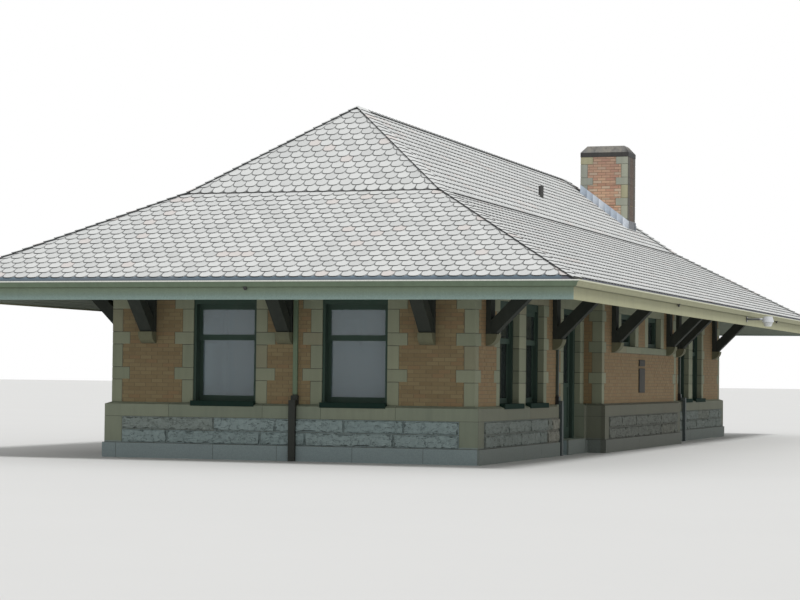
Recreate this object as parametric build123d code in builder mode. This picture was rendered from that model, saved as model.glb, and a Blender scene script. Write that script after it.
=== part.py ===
from build123d import *
import os

# Railway station building: a one-storey brick depot under a flared hip roof.
# Millimetres. Origin on the ground at the middle of the front wall's brick face,
# +X towards the street, +Y along the building to its back wall, +Z up.

# Plan of the brickwork
WIDTH = 6600
LENGTH = 22100
WALL = 330
HALF = WIDTH / 2
INNER = HALF - WALL
MIDDLE = LENGTH / 2
BAY_START = 7450
BAY_END = 14650
BAY_OUT = 370
BAY_FACE = HALF + BAY_OUT

# Heights
PLINTH_TOP = 260
WATER_TABLE_EDGE = 925
WALL_FOOT = 960
FLOOR_TOP = 285
THRESHOLD_TOP = 290
LINTEL = 280
BAY_SILL_FOOT = 1985
BAY_SILL_TOP = 2120
WALL_LIMIT = 4300

# Stone courses of quoins and jambs: a tall narrow block, then a low wide one
TALL_ROW = 395
LOW_ROW = 215
ROW_PAIR = TALL_ROW + LOW_ROW
QUOIN_NARROW = 190
QUOIN_WIDE = 330
QUOIN_PAIRS = 6
JAMB_PAIRS = 3
BAY_QUOIN_NARROW = 200
BAY_QUOIN_WIDE = 270
JAMB_NARROW = 205
JAMB_WIDE = 350
BAY_JAMB = 300
HEAD = WALL_FOOT + JAMB_PAIRS * ROW_PAIR
LINTEL_TOP = HEAD + LINTEL

# Reach of the stone base beyond the brick face
PLINTH_REACH = 120
BASE_REACH = 90
WATER_TABLE_SLOPE = 68
RECESS_START = 5170
SEAT = 0.3

# Openings, as pairs of edges along their wall
END_OPENINGS = [(-1770, -600), (600, 1770)]
NEAR_PAIR = [(1460, 2700), (3140, 4390)]
FAR_PAIR = [(17000, 18050), (18500, 19700)]
DOOR = (5830, 7170)
BAY_OPENINGS = [(9090, 10430), (11670, 13010)]

# Roof: two pitches, the lower one flared out over deep eaves
OVERHANG = 2220
EAVE_X = HALF + OVERHANG
EAVE_FRONT = -OVERHANG
EAVE_BACK = LENGTH + OVERHANG
EAVE_TOP = 2960
LOW_PITCH = 0.532
HIGH_PITCH = 0.745
KINK = 3170
DECK = 255
SOFFIT = 25
FASCIA = 25
FASCIA_FOOT = 2655
FASCIA_TOP = 2955
GUTTER_OUT = 110
GUTTER_DEPTH = 110
OGEE_STEPS = [(1.0, 0.2), (0.78, 0.32), (0.62, 0.6), (0.5, 0.85), (0.25, 1.0)]
CAP_WIDTH = 260
CAP_RISE = 22
ROOF_LIMIT = 9000

# Eave brackets and their stone corbels
END_BRACKETS = [-2600, -60, 2480]
STREET_BRACKETS = [720, 5140, 16600, 21200]
BAY_BRACKETS = [8380, 13720]
BRACKET_WIDTH = 260
STRUT_WIDTH = 230
POST_DEPTH = 90
STRUT_FOOT = 2204
STRUT_FOOT_OUT = 181
STRUT_HEIGHT = 300
STRUT_REACH = 1500
CORBEL = 200
CORBEL_TOP = 2180

# Window joinery
REVEAL = 115
END_REVEAL = 20
FRAME_DEPTH = 150
FRAME_SIDE = 45
SASH_SIDE = 55
SASH_DEPTH = 40
SASH_SET = 40
SILL_TOP = 1000
SILL_OUT = 110
SILL_DRIP = 910
LOWER_PANE = (1093, 2044)
UPPER_PANE = (2138, 2570)
FRAME_HEAD = 130
PANE = 6

# Door joinery
DOOR_REVEAL = 185
LEAF = 50
DOOR_JAMB = 100
TRANSOM_BAR = (2420, 2500)
DOOR_GAP = 5
FRAME_OUT = 70
STOP = 20
STILE = 130
LOCK_RAIL = (1284, 1362)
BOTTOM_RAIL = 210
PANEL_DEPTH = 16
HINGE_FEET = [520, 1240, 2160]
HINGE = 110
HINGE_PIN = 5
HINGE_BARREL = 9
HINGE_LEAF = 4
HINGE_PLATE = 45
HINGE_PLAY = 0.5
LEAF_FACE = HALF - DOOR_REVEAL
LEAF_BACK = LEAF_FACE - LEAF
FRAME_FACE = LEAF_FACE + FRAME_OUT
LIGHT = (DOOR[0] + DOOR_JAMB, DOOR[1] - DOOR_JAMB)
HINGE_X = LEAF_BACK - HINGE_BARREL - DOOR_GAP
HINGE_Y = LIGHT[1] - DOOR_GAP / 2

# Chimney
STACK_X = (480, 1680)
STACK_Y = (18440, 19230)
STACK_TOP = 6960
STACK_LOW_ROW = 185
STACK_TALL_ROW = 330
STACK_QUOIN_NARROW = 175
STACK_QUOIN_WIDE = 310
STACK_QUOIN_SIDE = 240
STACK_QUOIN_PAIRS = 4
CAP_BAND = 110
CAP_CREST = 170
CAP_SLOPE = 40
CAP_OUT = 10
FLUE = (560, 240)
FLUE_DEPTH = 150
FLASHING = 8
FLASHING_RISE = 230

# Downspouts, with iron boots over the stone base
PIPE = 75
PIPE_DEPTH = 50
BOOT = 120
BOOT_DEPTH = 75
BOOT_TOP = 1110
BOOT_SHOULDER = (WALL_FOOT, 1030)
FRONT_BOOT_OUT = (PLINTH_REACH, PLINTH_REACH + 65)
STREET_BOOT_OUT = (70, 137)
FRONT_PIPE_X = 130
STREET_PIPES = [5310, 16800]

# Vent pipe on the street slope, and a yard lamp on the street fascia
VENT_PLACE = (1400, 11200)
VENT_RADIUS = 55
VENT_TOP = 5610
LAMP_Y = 13250
LAMP_ARM_RADIUS = 22
LAMP_ARM_Z = 2790
LAMP_ARM = 470
LAMP_PLATE = 110
LAMP_PLATE_DEPTH = 20
LAMP_HOOD_RADIUS = 130
LAMP_HOOD = 120
LAMP_HOOD_SLOPE = 15
LAMP_LENS_RADIUS = 110
LAMP_LENS = 95
LAMP_LENS_SLOPE = 20


def box(x, y, z, mode=Mode.ADD):
    """Adds the box between two x, two y and two z values to the part being built."""
    with Locations(((x[0] + x[1]) / 2, (y[0] + y[1]) / 2, (z[0] + z[1]) / 2)):
        Box(x[1] - x[0], y[1] - y[0], z[1] - z[0], mode=mode)


def roof_height(inward):
    """Height of the roof's surface at a distance in from the eave, in plan."""
    low = min(inward, KINK)
    return EAVE_TOP + LOW_PITCH * low + HIGH_PITCH * (inward - low)


def hip_body(lift):
    """The solid under the whole roof surface, with that surface lifted straight up."""
    foot = -lift - EAVE_TOP
    across = [(-EAVE_X, foot), (-EAVE_X, roof_height(0)), (KINK - EAVE_X, roof_height(KINK)),
              (0, roof_height(EAVE_X)), (EAVE_X - KINK, roof_height(KINK)), (EAVE_X, roof_height(0)),
              (EAVE_X, foot)]
    reach = MIDDLE + OVERHANG
    along = [(EAVE_FRONT, foot), (EAVE_FRONT, roof_height(0)), (EAVE_FRONT + KINK, roof_height(KINK)),
             (MIDDLE, roof_height(reach)), (EAVE_BACK - KINK, roof_height(KINK)), (EAVE_BACK, roof_height(0)),
             (EAVE_BACK, foot)]
    with BuildPart() as body:
        with BuildSketch(Plane.XZ.offset(-EAVE_FRONT)):
            Polygon(*[(x, z + lift) for x, z in across], align=None)
        extrude(amount=EAVE_FRONT - EAVE_BACK)
        with BuildSketch(Plane.YZ.offset(-EAVE_X)):
            Polygon(*[(y, z + lift) for y, z in along], align=None)
        extrude(amount=2 * EAVE_X, mode=Mode.INTERSECT)
    return body.part


def side_outline(near, far):
    """Plan of a street-side strip between two distances in from the eave, mitred at both hips."""
    return [(EAVE_X - near, EAVE_FRONT + near), (EAVE_X - near, EAVE_BACK - near),
            (EAVE_X - far, EAVE_BACK - far), (EAVE_X - far, EAVE_FRONT + far)]


def end_outline(near, far):
    """Plan of a front strip between two distances in from the eave, mitred at both hips."""
    corners = [(near - EAVE_X, EAVE_FRONT + near), (EAVE_X - near, EAVE_FRONT + near),
               (EAVE_X - far, EAVE_FRONT + far), (far - EAVE_X, EAVE_FRONT + far)]
    return list(dict.fromkeys(corners))


def slab_section(near, far):
    """Section of a roof slope as pairs of distance in from the eave and height."""
    return [(near, roof_height(near)), (far, roof_height(far)),
            (far, roof_height(far) - DECK), (near, roof_height(near) - DECK)]


def stone_rows(count, foot=WALL_FOOT, tall=TALL_ROW, low=LOW_ROW):
    """Rows of a toothed stack as foot, top and whether the row is the wide one."""
    rows = []
    for pair in range(count):
        start = foot + pair * (tall + low)
        rows.append((start, start + tall, False))
        rows.append((start + tall, start + tall + low, True))
    return rows


under_deck = hip_body(-DECK)
under_soffit = hip_body(-DECK - SOFFIT)
roof_surface = hip_body(0)
back_mirror = Plane.XZ.offset(-MIDDLE)

os.makedirs("parts", exist_ok=True)

# Stone base: plinth, two rock-faced courses and a weathered water table, cut back flush
# with the wall between each side's first downspout and its door
with BuildPart() as base_mass:
    for foot, top, reach, slope in [(0, PLINTH_TOP, PLINTH_REACH, 0),
                                    (PLINTH_TOP, WATER_TABLE_EDGE, BASE_REACH, 0),
                                    (WATER_TABLE_EDGE, WALL_FOOT, BASE_REACH, WATER_TABLE_SLOPE)]:
        with BuildSketch(Plane.XY.offset(foot)):
            with Locations((0, MIDDLE)):
                Rectangle(WIDTH, LENGTH)
                Rectangle(2 * BAY_FACE, BAY_END - BAY_START)
            offset(amount=reach, kind=Kind.INTERSECTION)
        extrude(amount=top - foot, taper=slope)
    box((-INNER, INNER), (WALL, LENGTH - WALL), (0, WALL_FOOT), Mode.SUBTRACT)
    box((-HALF, HALF), (BAY_START + WALL, BAY_END - WALL), (0, WALL_FOOT), Mode.SUBTRACT)
    box((-EAVE_X, EAVE_X), DOOR, (0, WALL_FOOT), Mode.SUBTRACT)
    box((-EAVE_X, EAVE_X), (RECESS_START, RECESS_START + SEAT), (0, WALL_FOOT), Mode.SUBTRACT)
    for side in (-1, 1):
        box(sorted((side * HALF, side * EAVE_X)), (RECESS_START, DOOR[0]), (0, WALL_FOOT), Mode.SUBTRACT)

with BuildPart() as end_stone_bases:
    add(base_mass.part)
    box((-EAVE_X, EAVE_X), (-OVERHANG, WALL), (0, WALL_FOOT), Mode.INTERSECT)
    mirror(about=back_mirror)
end_stone_bases.part.label = "end_stone_bases"
export_step(end_stone_bases.part, "parts/end_stone_bases.step")

with BuildPart() as bay_stone_bases:
    add(base_mass.part)
    box((HALF, EAVE_X), (BAY_START - PLINTH_REACH, BAY_END + PLINTH_REACH), (0, WALL_FOOT), Mode.INTERSECT)
    mirror(about=Plane.YZ)
bay_stone_bases.part.label = "bay_stone_bases"
export_step(bay_stone_bases.part, "parts/bay_stone_bases.step")

with BuildPart() as side_stone_bases:
    add(base_mass.part)
    box((-EAVE_X, EAVE_X), (WALL, LENGTH - WALL), (0, WALL_FOOT), Mode.INTERSECT)
    add(bay_stone_bases.part, mode=Mode.SUBTRACT)
side_stone_bases.part.label = "side_stone_bases"
export_step(side_stone_bases.part, "parts/side_stone_bases.step")

# Floor inside the base, and a stone step in each doorway
with BuildPart() as floor_slab:
    box((-INNER, INNER), (WALL, LENGTH - WALL), (0, FLOOR_TOP))
    box((-HALF, HALF), (BAY_START + WALL, BAY_END - WALL), (0, FLOOR_TOP))
floor_slab.part.label = "floor_slab"
export_step(floor_slab.part, "parts/floor_slab.step")

with BuildPart() as door_thresholds:
    box((INNER, HALF + PLINTH_REACH), DOOR, (0, THRESHOLD_TOP))
    mirror(about=Plane.YZ)
door_thresholds.part.label = "door_thresholds"
export_step(door_thresholds.part, "parts/door_thresholds.step")

# Toothed quoins at the four corners and at the bay corners
with BuildPart() as quoins:
    for foot, top, wide in stone_rows(QUOIN_PAIRS):
        size = QUOIN_WIDE if wide else QUOIN_NARROW
        box((HALF - size, HALF), (0, size), (foot, top))
        depth = BAY_QUOIN_WIDE if wide else BAY_QUOIN_NARROW
        box((BAY_FACE - depth, BAY_FACE), (BAY_START, BAY_START + size), (foot, top))
    mirror(about=Plane.YZ)
    mirror(about=back_mirror)
    add(under_deck, mode=Mode.INTERSECT)
quoins.part.label = "quoins"
export_step(quoins.part, "parts/quoins.step")

# Toothed stone jambs, plain stone piers between paired windows, and plain bay jambs
with BuildPart() as stone_jambs:
    for foot, top, wide in stone_rows(JAMB_PAIRS):
        size = JAMB_WIDE if wide else JAMB_NARROW
        for left, right in END_OPENINGS:
            box((left - size, left), (0, WALL), (foot, top))
            box((right, right + size), (0, WALL), (foot, top))
    mirror(about=back_mirror)
    for foot, top, wide in stone_rows(JAMB_PAIRS):
        size = JAMB_WIDE if wide else JAMB_NARROW
        for side in (-1, 1):
            depth = sorted((side * INNER, side * HALF))
            box(depth, (DOOR[0] - size, DOOR[0]), (foot, top))
            for near, far in (NEAR_PAIR, FAR_PAIR):
                box(depth, (near[0] - size, near[0]), (foot, top))
                box(depth, (near[1], far[0]), (foot, top))
                box(depth, (far[1], far[1] + size), (foot, top))
    for side in (-1, 1):
        box(sorted((side * INNER, side * HALF)), (DOOR[1], BAY_START), (WALL_FOOT, HEAD))
        depth = sorted((side * HALF, side * BAY_FACE))
        for near, far in BAY_OPENINGS:
            box(depth, (near - BAY_JAMB, near), (BAY_SILL_TOP, HEAD))
            box(depth, (far, far + BAY_JAMB), (BAY_SILL_TOP, HEAD))
stone_jambs.part.label = "stone_jambs"
export_step(stone_jambs.part, "parts/stone_jambs.step")

with BuildPart() as lintels:
    for left, right in END_OPENINGS:
        box((left - JAMB_WIDE, right + JAMB_WIDE), (0, WALL), (HEAD, LINTEL_TOP))
        box((left - JAMB_WIDE, right + JAMB_WIDE), (LENGTH - WALL, LENGTH), (HEAD, LINTEL_TOP))
    for side in (-1, 1):
        depth = sorted((side * INNER, side * HALF))
        for near, far in (NEAR_PAIR, FAR_PAIR):
            box(depth, (near[0] - JAMB_WIDE, far[1] + JAMB_WIDE), (HEAD, LINTEL_TOP))
        box(depth, (DOOR[0] - JAMB_WIDE, BAY_START), (HEAD, LINTEL_TOP))
        depth = sorted((side * HALF, side * BAY_FACE))
        for near, far in BAY_OPENINGS:
            box(depth, (near - BAY_JAMB, far + BAY_JAMB), (HEAD, LINTEL_TOP))
lintels.part.label = "lintels"
export_step(lintels.part, "parts/lintels.step")

# Continuous stone sill band under the bay's two high windows
with BuildPart() as bay_sill_bands:
    band = (BAY_BRACKETS[0] - BRACKET_WIDTH / 2, BAY_BRACKETS[1] + BRACKET_WIDTH / 2)
    box((HALF, BAY_FACE), band, (BAY_SILL_FOOT, BAY_SILL_TOP))
    mirror(about=Plane.YZ)
bay_sill_bands.part.label = "bay_sill_bands"
export_step(bay_sill_bands.part, "parts/bay_sill_bands.step")

# Brick walls between the stone dressings, up to the lintels' tops
with BuildPart() as front_wall:
    box((-HALF, HALF), (0, WALL), (WALL_FOOT, LINTEL_TOP))
    for opening in END_OPENINGS:
        box(opening, (0, WALL), (WALL_FOOT, HEAD), Mode.SUBTRACT)
    add(quoins.part, mode=Mode.SUBTRACT)
    add(stone_jambs.part, mode=Mode.SUBTRACT)
    add(lintels.part, mode=Mode.SUBTRACT)
front_wall.part.label = "front_wall"
export_step(front_wall.part, "parts/front_wall.step")

with BuildPart() as back_wall:
    mirror(front_wall.part, about=back_mirror)
back_wall.part.label = "back_wall"
export_step(back_wall.part, "parts/back_wall.step")

with BuildPart() as street_wall:
    box((INNER, HALF), (WALL, BAY_START + WALL), (WALL_FOOT, LINTEL_TOP))
    box((INNER, HALF), (BAY_END - WALL, LENGTH - WALL), (WALL_FOOT, LINTEL_TOP))
    for opening in [*NEAR_PAIR, DOOR, *FAR_PAIR]:
        box((INNER, HALF), opening, (WALL_FOOT, HEAD), Mode.SUBTRACT)
    add(quoins.part, mode=Mode.SUBTRACT)
    add(stone_jambs.part, mode=Mode.SUBTRACT)
    add(lintels.part, mode=Mode.SUBTRACT)
street_wall.part.label = "street_wall"
export_step(street_wall.part, "parts/street_wall.step")

with BuildPart() as track_wall:
    mirror(street_wall.part, about=Plane.YZ)
track_wall.part.label = "track_wall"
export_step(track_wall.part, "parts/track_wall.step")

# Brickwork of the bays, up to their lintels' tops
with BuildPart() as bay_walls:
    box((HALF, BAY_FACE), (BAY_START, BAY_END), (WALL_FOOT, LINTEL_TOP))
    for opening in BAY_OPENINGS:
        box((HALF, BAY_FACE), opening, (BAY_SILL_TOP, HEAD), Mode.SUBTRACT)
    mirror(about=Plane.YZ)
    add(quoins.part, mode=Mode.SUBTRACT)
    add(bay_sill_bands.part, mode=Mode.SUBTRACT)
    add(stone_jambs.part, mode=Mode.SUBTRACT)
    add(lintels.part, mode=Mode.SUBTRACT)
bay_walls.part.label = "bay_walls"
export_step(bay_walls.part, "parts/bay_walls.step")

# Brickwork over the lintels, its top cut to the slope of the roof deck
with BuildPart() as end_upper_walls:
    box((-HALF, HALF), (0, WALL), (LINTEL_TOP, WALL_LIMIT))
    mirror(about=back_mirror)
    add(quoins.part, mode=Mode.SUBTRACT)
    add(under_deck, mode=Mode.INTERSECT)
end_upper_walls.part.label = "end_upper_walls"
export_step(end_upper_walls.part, "parts/end_upper_walls.step")

with BuildPart() as side_upper_walls:
    box((INNER, HALF), (WALL, LENGTH - WALL), (LINTEL_TOP, WALL_LIMIT))
    mirror(about=Plane.YZ)
    add(quoins.part, mode=Mode.SUBTRACT)
    add(under_deck, mode=Mode.INTERSECT)
side_upper_walls.part.label = "side_upper_walls"
export_step(side_upper_walls.part, "parts/side_upper_walls.step")

with BuildPart() as bay_upper_walls:
    box((HALF, BAY_FACE), (BAY_START, BAY_END), (LINTEL_TOP, WALL_LIMIT))
    mirror(about=Plane.YZ)
    add(quoins.part, mode=Mode.SUBTRACT)
    add(under_deck, mode=Mode.INTERSECT)
bay_upper_walls.part.label = "bay_upper_walls"
export_step(bay_upper_walls.part, "parts/bay_upper_walls.step")

# Quarter-round stone corbels under the brackets
post_profile = [(0, CORBEL_TOP), (POST_DEPTH, CORBEL_TOP), (POST_DEPTH, WALL_LIMIT), (0, WALL_LIMIT)]
post_foot_out = STRUT_FOOT_OUT + CORBEL_TOP - STRUT_FOOT
strut_top = CORBEL_TOP + STRUT_REACH - post_foot_out
strut_profile = [(POST_DEPTH, CORBEL_TOP), (post_foot_out, CORBEL_TOP), (STRUT_REACH, strut_top),
                 (STRUT_REACH, strut_top + STRUT_HEIGHT),
                 (POST_DEPTH, CORBEL_TOP + POST_DEPTH - post_foot_out + STRUT_HEIGHT)]
side_places = [(HALF, y) for y in STREET_BRACKETS] + [(BAY_FACE, y) for y in BAY_BRACKETS]

with BuildPart() as corbels:
    for face, y in side_places:
        with BuildSketch(Plane.XZ.offset(-y)):
            with BuildLine():
                Line((face, CORBEL_TOP - CORBEL), (face, CORBEL_TOP))
                Line((face, CORBEL_TOP), (face + CORBEL, CORBEL_TOP))
                RadiusArc((face + CORBEL, CORBEL_TOP), (face, CORBEL_TOP - CORBEL), CORBEL)
            make_face()
        extrude(amount=BRACKET_WIDTH / 2, both=True)
    mirror(about=Plane.YZ)
    for x in END_BRACKETS:
        for face, way in ((0, -1), (LENGTH, 1)):
            with BuildSketch(Plane.YZ.offset(x)):
                with BuildLine():
                    Line((face, CORBEL_TOP - CORBEL), (face, CORBEL_TOP))
                    Line((face, CORBEL_TOP), (face + way * CORBEL, CORBEL_TOP))
                    RadiusArc((face + way * CORBEL, CORBEL_TOP), (face, CORBEL_TOP - CORBEL), way * CORBEL)
                make_face()
            extrude(amount=BRACKET_WIDTH / 2, both=True)
corbels.part.label = "corbels"
export_step(corbels.part, "parts/corbels.step")

# Timber brackets: posts on the wall over the corbels, and struts from them out to the soffit
with BuildPart() as bracket_posts:
    for face, y in side_places:
        with BuildSketch(Plane.XZ.offset(-y)):
            Polygon(*[(face + out, z) for out, z in post_profile], align=None)
        extrude(amount=BRACKET_WIDTH / 2, both=True)
    mirror(about=Plane.YZ)
    for x in END_BRACKETS:
        for face, way in ((0, -1), (LENGTH, 1)):
            with BuildSketch(Plane.YZ.offset(x)):
                Polygon(*[(face + way * out, z) for out, z in post_profile], align=None)
            extrude(amount=BRACKET_WIDTH / 2, both=True)
    add(under_soffit, mode=Mode.INTERSECT)
bracket_posts.part.label = "bracket_posts"
export_step(bracket_posts.part, "parts/bracket_posts.step")

with BuildPart() as side_struts:
    for face, y in side_places:
        with BuildSketch(Plane.XZ.offset(-y)):
            Polygon(*[(face + out, z) for out, z in strut_profile], align=None)
        extrude(amount=STRUT_WIDTH / 2, both=True)
    add(under_soffit, mode=Mode.INTERSECT)
    mirror(about=Plane.YZ)
side_struts.part.label = "side_struts"
export_step(side_struts.part, "parts/side_struts.step")

with BuildPart() as end_struts:
    for x in END_BRACKETS:
        with BuildSketch(Plane.YZ.offset(x)):
            Polygon(*[(-out, z) for out, z in strut_profile], align=None)
        extrude(amount=STRUT_WIDTH / 2, both=True)
    add(under_soffit, mode=Mode.INTERSECT)
    mirror(about=back_mirror)
end_struts.part.label = "end_struts"
export_step(end_struts.part, "parts/end_struts.step")

# Windows: a box frame on a projecting sill, an outer upper sash and an inner lower one.
# Each is drawn across X with its wall's face at y = 0, then turned to its wall.


def window_sill(width):
    """Projecting sill of a tall window, centred on x = 0."""
    with BuildPart() as sill:
        box((-width / 2, width / 2), (-SILL_OUT, REVEAL + FRAME_DEPTH), (SILL_DRIP, SILL_TOP))
    return sill.part


def window_frame(width, reveal):
    """Box frame of a tall window, its face this far behind the wall's, centred on x = 0."""
    half = width / 2
    inside = (FRAME_SIDE - half, half - FRAME_SIDE)
    with BuildPart() as frame:
        box((-half, half), (reveal, REVEAL + FRAME_DEPTH), (SILL_TOP, HEAD))
        box(inside, (reveal, REVEAL + FRAME_DEPTH), (SILL_TOP, HEAD - FRAME_HEAD), Mode.SUBTRACT)
    return frame.part


def window_sash(width):
    """Outer upper sash and inner lower sash of a tall window, centred on x = 0."""
    half = width / 2
    inside = (FRAME_SIDE - half, half - FRAME_SIDE)
    clear = (inside[0] + SASH_SIDE, inside[1] - SASH_SIDE)
    upper = (REVEAL + SASH_SET, REVEAL + SASH_SET + SASH_DEPTH)
    lower = (upper[1], upper[1] + SASH_DEPTH)
    with BuildPart() as sash:
        box(inside, upper, (LOWER_PANE[1], HEAD - FRAME_HEAD))
        box(clear, upper, UPPER_PANE, Mode.SUBTRACT)
        box(inside, lower, (SILL_TOP, UPPER_PANE[0]))
        box(clear, lower, LOWER_PANE, Mode.SUBTRACT)
    return sash.part


def window_panes(width):
    """The two panes of a tall window, centred on x = 0."""
    half = width / 2 - FRAME_SIDE - SASH_SIDE
    upper = REVEAL + SASH_SET + SASH_DEPTH / 2
    lower = upper + SASH_DEPTH
    with BuildPart() as panes:
        box((-half, half), (upper - PANE / 2, upper + PANE / 2), UPPER_PANE)
        box((-half, half), (lower - PANE / 2, lower + PANE / 2), LOWER_PANE)
    return panes.part


def bay_frame(width):
    """Frame of a low bay window, centred on x = 0."""
    half = width / 2
    side = FRAME_SIDE + SASH_SIDE
    with BuildPart() as frame:
        box((-half, half), (REVEAL, REVEAL + FRAME_DEPTH), (BAY_SILL_TOP, HEAD))
        box((side - half, half - side), (REVEAL, REVEAL + FRAME_DEPTH), (BAY_SILL_TOP + side, HEAD - side),
            Mode.SUBTRACT)
    return frame.part


def bay_pane(width):
    """Pane of a low bay window, centred on x = 0."""
    side = FRAME_SIDE + SASH_SIDE
    half = width / 2 - side
    middle = REVEAL + FRAME_DEPTH / 2
    with BuildPart() as pane:
        box((-half, half), (middle - PANE / 2, middle + PANE / 2), (BAY_SILL_TOP + side, HEAD - side))
    return pane.part


# Places of the tall windows, as location, width and reveal, and of the low bay windows
window_places = []
for left, right in END_OPENINGS:
    window_places.append((Location(((left + right) / 2, 0, 0)), right - left, END_REVEAL))
    window_places.append((Location(((left + right) / 2, LENGTH, 0), (0, 0, 180)), right - left, END_REVEAL))
for near, far in NEAR_PAIR + FAR_PAIR:
    window_places.append((Location((HALF, (near + far) / 2, 0), (0, 0, 90)), far - near, REVEAL))
    window_places.append((Location((-HALF, (near + far) / 2, 0), (0, 0, -90)), far - near, REVEAL))
bay_places = []
for near, far in BAY_OPENINGS:
    bay_places.append((Location((BAY_FACE, (near + far) / 2, 0), (0, 0, 90)), far - near))
    bay_places.append((Location((-BAY_FACE, (near + far) / 2, 0), (0, 0, -90)), far - near))

with BuildPart() as window_frames:
    for place, width, reveal in window_places:
        add(place * window_frame(width, reveal))
    for place, width in bay_places:
        add(place * bay_frame(width))
window_frames.part.label = "window_frames"
export_step(window_frames.part, "parts/window_frames.step")

with BuildPart() as window_sills:
    for place, width, reveal in window_places:
        add(place * window_sill(width))
    add(base_mass.part, mode=Mode.SUBTRACT)
window_sills.part.label = "window_sills"
export_step(window_sills.part, "parts/window_sills.step")

with BuildPart() as window_sashes:
    for place, width, reveal in window_places:
        add(place * window_sash(width))
window_sashes.part.label = "window_sashes"
export_step(window_sashes.part, "parts/window_sashes.step")

# Doors: a rebated frame with a transom light, and a half-glazed leaf


def door_leaf(gap):
    """The street-side leaf, with this gap to its frame on all sides."""
    across = (LIGHT[0] + gap, LIGHT[1] - gap)
    up = (THRESHOLD_TOP + gap, TRANSOM_BAR[0] - gap)
    clear = (across[0] + STILE, across[1] - STILE)
    with BuildPart() as leaf:
        box((LEAF_BACK, LEAF_FACE), across, up)
        box((LEAF_BACK, LEAF_FACE), clear, (LOCK_RAIL[1], up[1] - STILE), Mode.SUBTRACT)
        panel = (up[0] + BOTTOM_RAIL, LOCK_RAIL[0])
        box((LEAF_FACE - PANEL_DEPTH, LEAF_FACE), clear, panel, Mode.SUBTRACT)
        box((LEAF_BACK, LEAF_BACK + PANEL_DEPTH), clear, panel, Mode.SUBTRACT)
    return leaf.part


def leaf_pane(gap):
    """The pane of a street-side leaf."""
    middle = (LEAF_BACK + LEAF_FACE) / 2
    clear = (LIGHT[0] + gap + STILE, LIGHT[1] - gap - STILE)
    with BuildPart() as pane:
        box((middle - PANE / 2, middle + PANE / 2), clear, (LOCK_RAIL[1], TRANSOM_BAR[0] - gap - STILE))
    return pane.part


with BuildPart() as door_posts:
    for edge, inside in ((DOOR[0], LIGHT[0]), (LIGHT[1], DOOR[1])):
        box((LEAF_BACK, FRAME_FACE), (edge, inside), (THRESHOLD_TOP, HEAD))
    mirror(about=Plane.YZ)
    for foot in HINGE_FEET:
        knuckle = (foot, foot + HINGE / 2)
        box((LEAF_BACK - HINGE_LEAF, LEAF_BACK), (HINGE_Y + DOOR_GAP, HINGE_Y + HINGE_PLATE), knuckle)
        box((HINGE_X, LEAF_BACK), (HINGE_Y + DOOR_GAP, HINGE_Y + HINGE_BARREL), knuckle)
        with BuildSketch(Plane.XY.offset(foot)):
            with Locations((HINGE_X, HINGE_Y)):
                Circle(HINGE_BARREL)
        extrude(amount=HINGE / 2)
        with BuildSketch(Plane.XY.offset(foot)):
            with Locations((HINGE_X, HINGE_Y)):
                Circle(HINGE_PIN)
        extrude(amount=HINGE)
door_posts.part.label = "door_posts"
export_step(door_posts.part, "parts/door_posts.step")

with BuildPart() as door_heads:
    box((LEAF_BACK, FRAME_FACE), LIGHT, TRANSOM_BAR)
    box((LEAF_BACK, FRAME_FACE), LIGHT, (HEAD - DOOR_JAMB, HEAD))
    mirror(about=Plane.YZ)
door_heads.part.label = "door_heads"
export_step(door_heads.part, "parts/door_heads.step")

with BuildPart() as door_stops:
    box((LEAF_FACE + DOOR_GAP, FRAME_FACE), LIGHT, (THRESHOLD_TOP, TRANSOM_BAR[0]))
    box((LEAF_FACE, FRAME_FACE), (LIGHT[0] + STOP, LIGHT[1] - STOP), (THRESHOLD_TOP, TRANSOM_BAR[0] - STOP),
        Mode.SUBTRACT)
    mirror(about=Plane.YZ)
door_stops.part.label = "door_stops"
export_step(door_stops.part, "parts/door_stops.step")

with BuildPart() as street_door:
    add(door_leaf(DOOR_GAP))
    for foot in HINGE_FEET:
        knuckle = (foot + HINGE / 2 + HINGE_PLAY, foot + HINGE)
        box((LEAF_BACK - HINGE_LEAF, LEAF_BACK), (HINGE_Y - HINGE_PLATE, HINGE_Y - DOOR_GAP), knuckle)
        box((HINGE_X, LEAF_BACK), (HINGE_Y - HINGE_BARREL, HINGE_Y - DOOR_GAP), knuckle)
        with BuildSketch(Plane.XY.offset(knuckle[0])):
            with Locations((HINGE_X, HINGE_Y)):
                Circle(HINGE_BARREL)
        extrude(amount=knuckle[1] - knuckle[0])
        with BuildSketch(Plane.XY.offset(knuckle[0])):
            with Locations((HINGE_X, HINGE_Y)):
                Circle(HINGE_PIN + HINGE_PLAY)
        extrude(amount=HINGE, mode=Mode.SUBTRACT)
street_door.part.label = "street_door"
export_step(street_door.part, "parts/street_door.step")

with BuildPart() as street_door_glass:
    add(leaf_pane(DOOR_GAP))
street_door_glass.part.label = "street_door_glass"
export_step(street_door_glass.part, "parts/street_door_glass.step")

with BuildPart() as track_door:
    mirror(door_leaf(0), about=Plane.YZ)
track_door.part.label = "track_door"
export_step(track_door.part, "parts/track_door.step")

with BuildPart() as window_glass:
    for place, width, reveal in window_places:
        add(place * window_panes(width))
    for place, width in bay_places:
        add(place * bay_pane(width))
    middle = (LEAF_BACK + LEAF_FACE) / 2
    for side in (-1, 1):
        depth = sorted((side * middle, side * (middle + PANE)))
        box(depth, LIGHT, (TRANSOM_BAR[1], HEAD - DOOR_JAMB))
    mirror(leaf_pane(0), about=Plane.YZ)
window_glass.part.label = "window_glass"
export_step(window_glass.part, "parts/window_glass.step")

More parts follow.
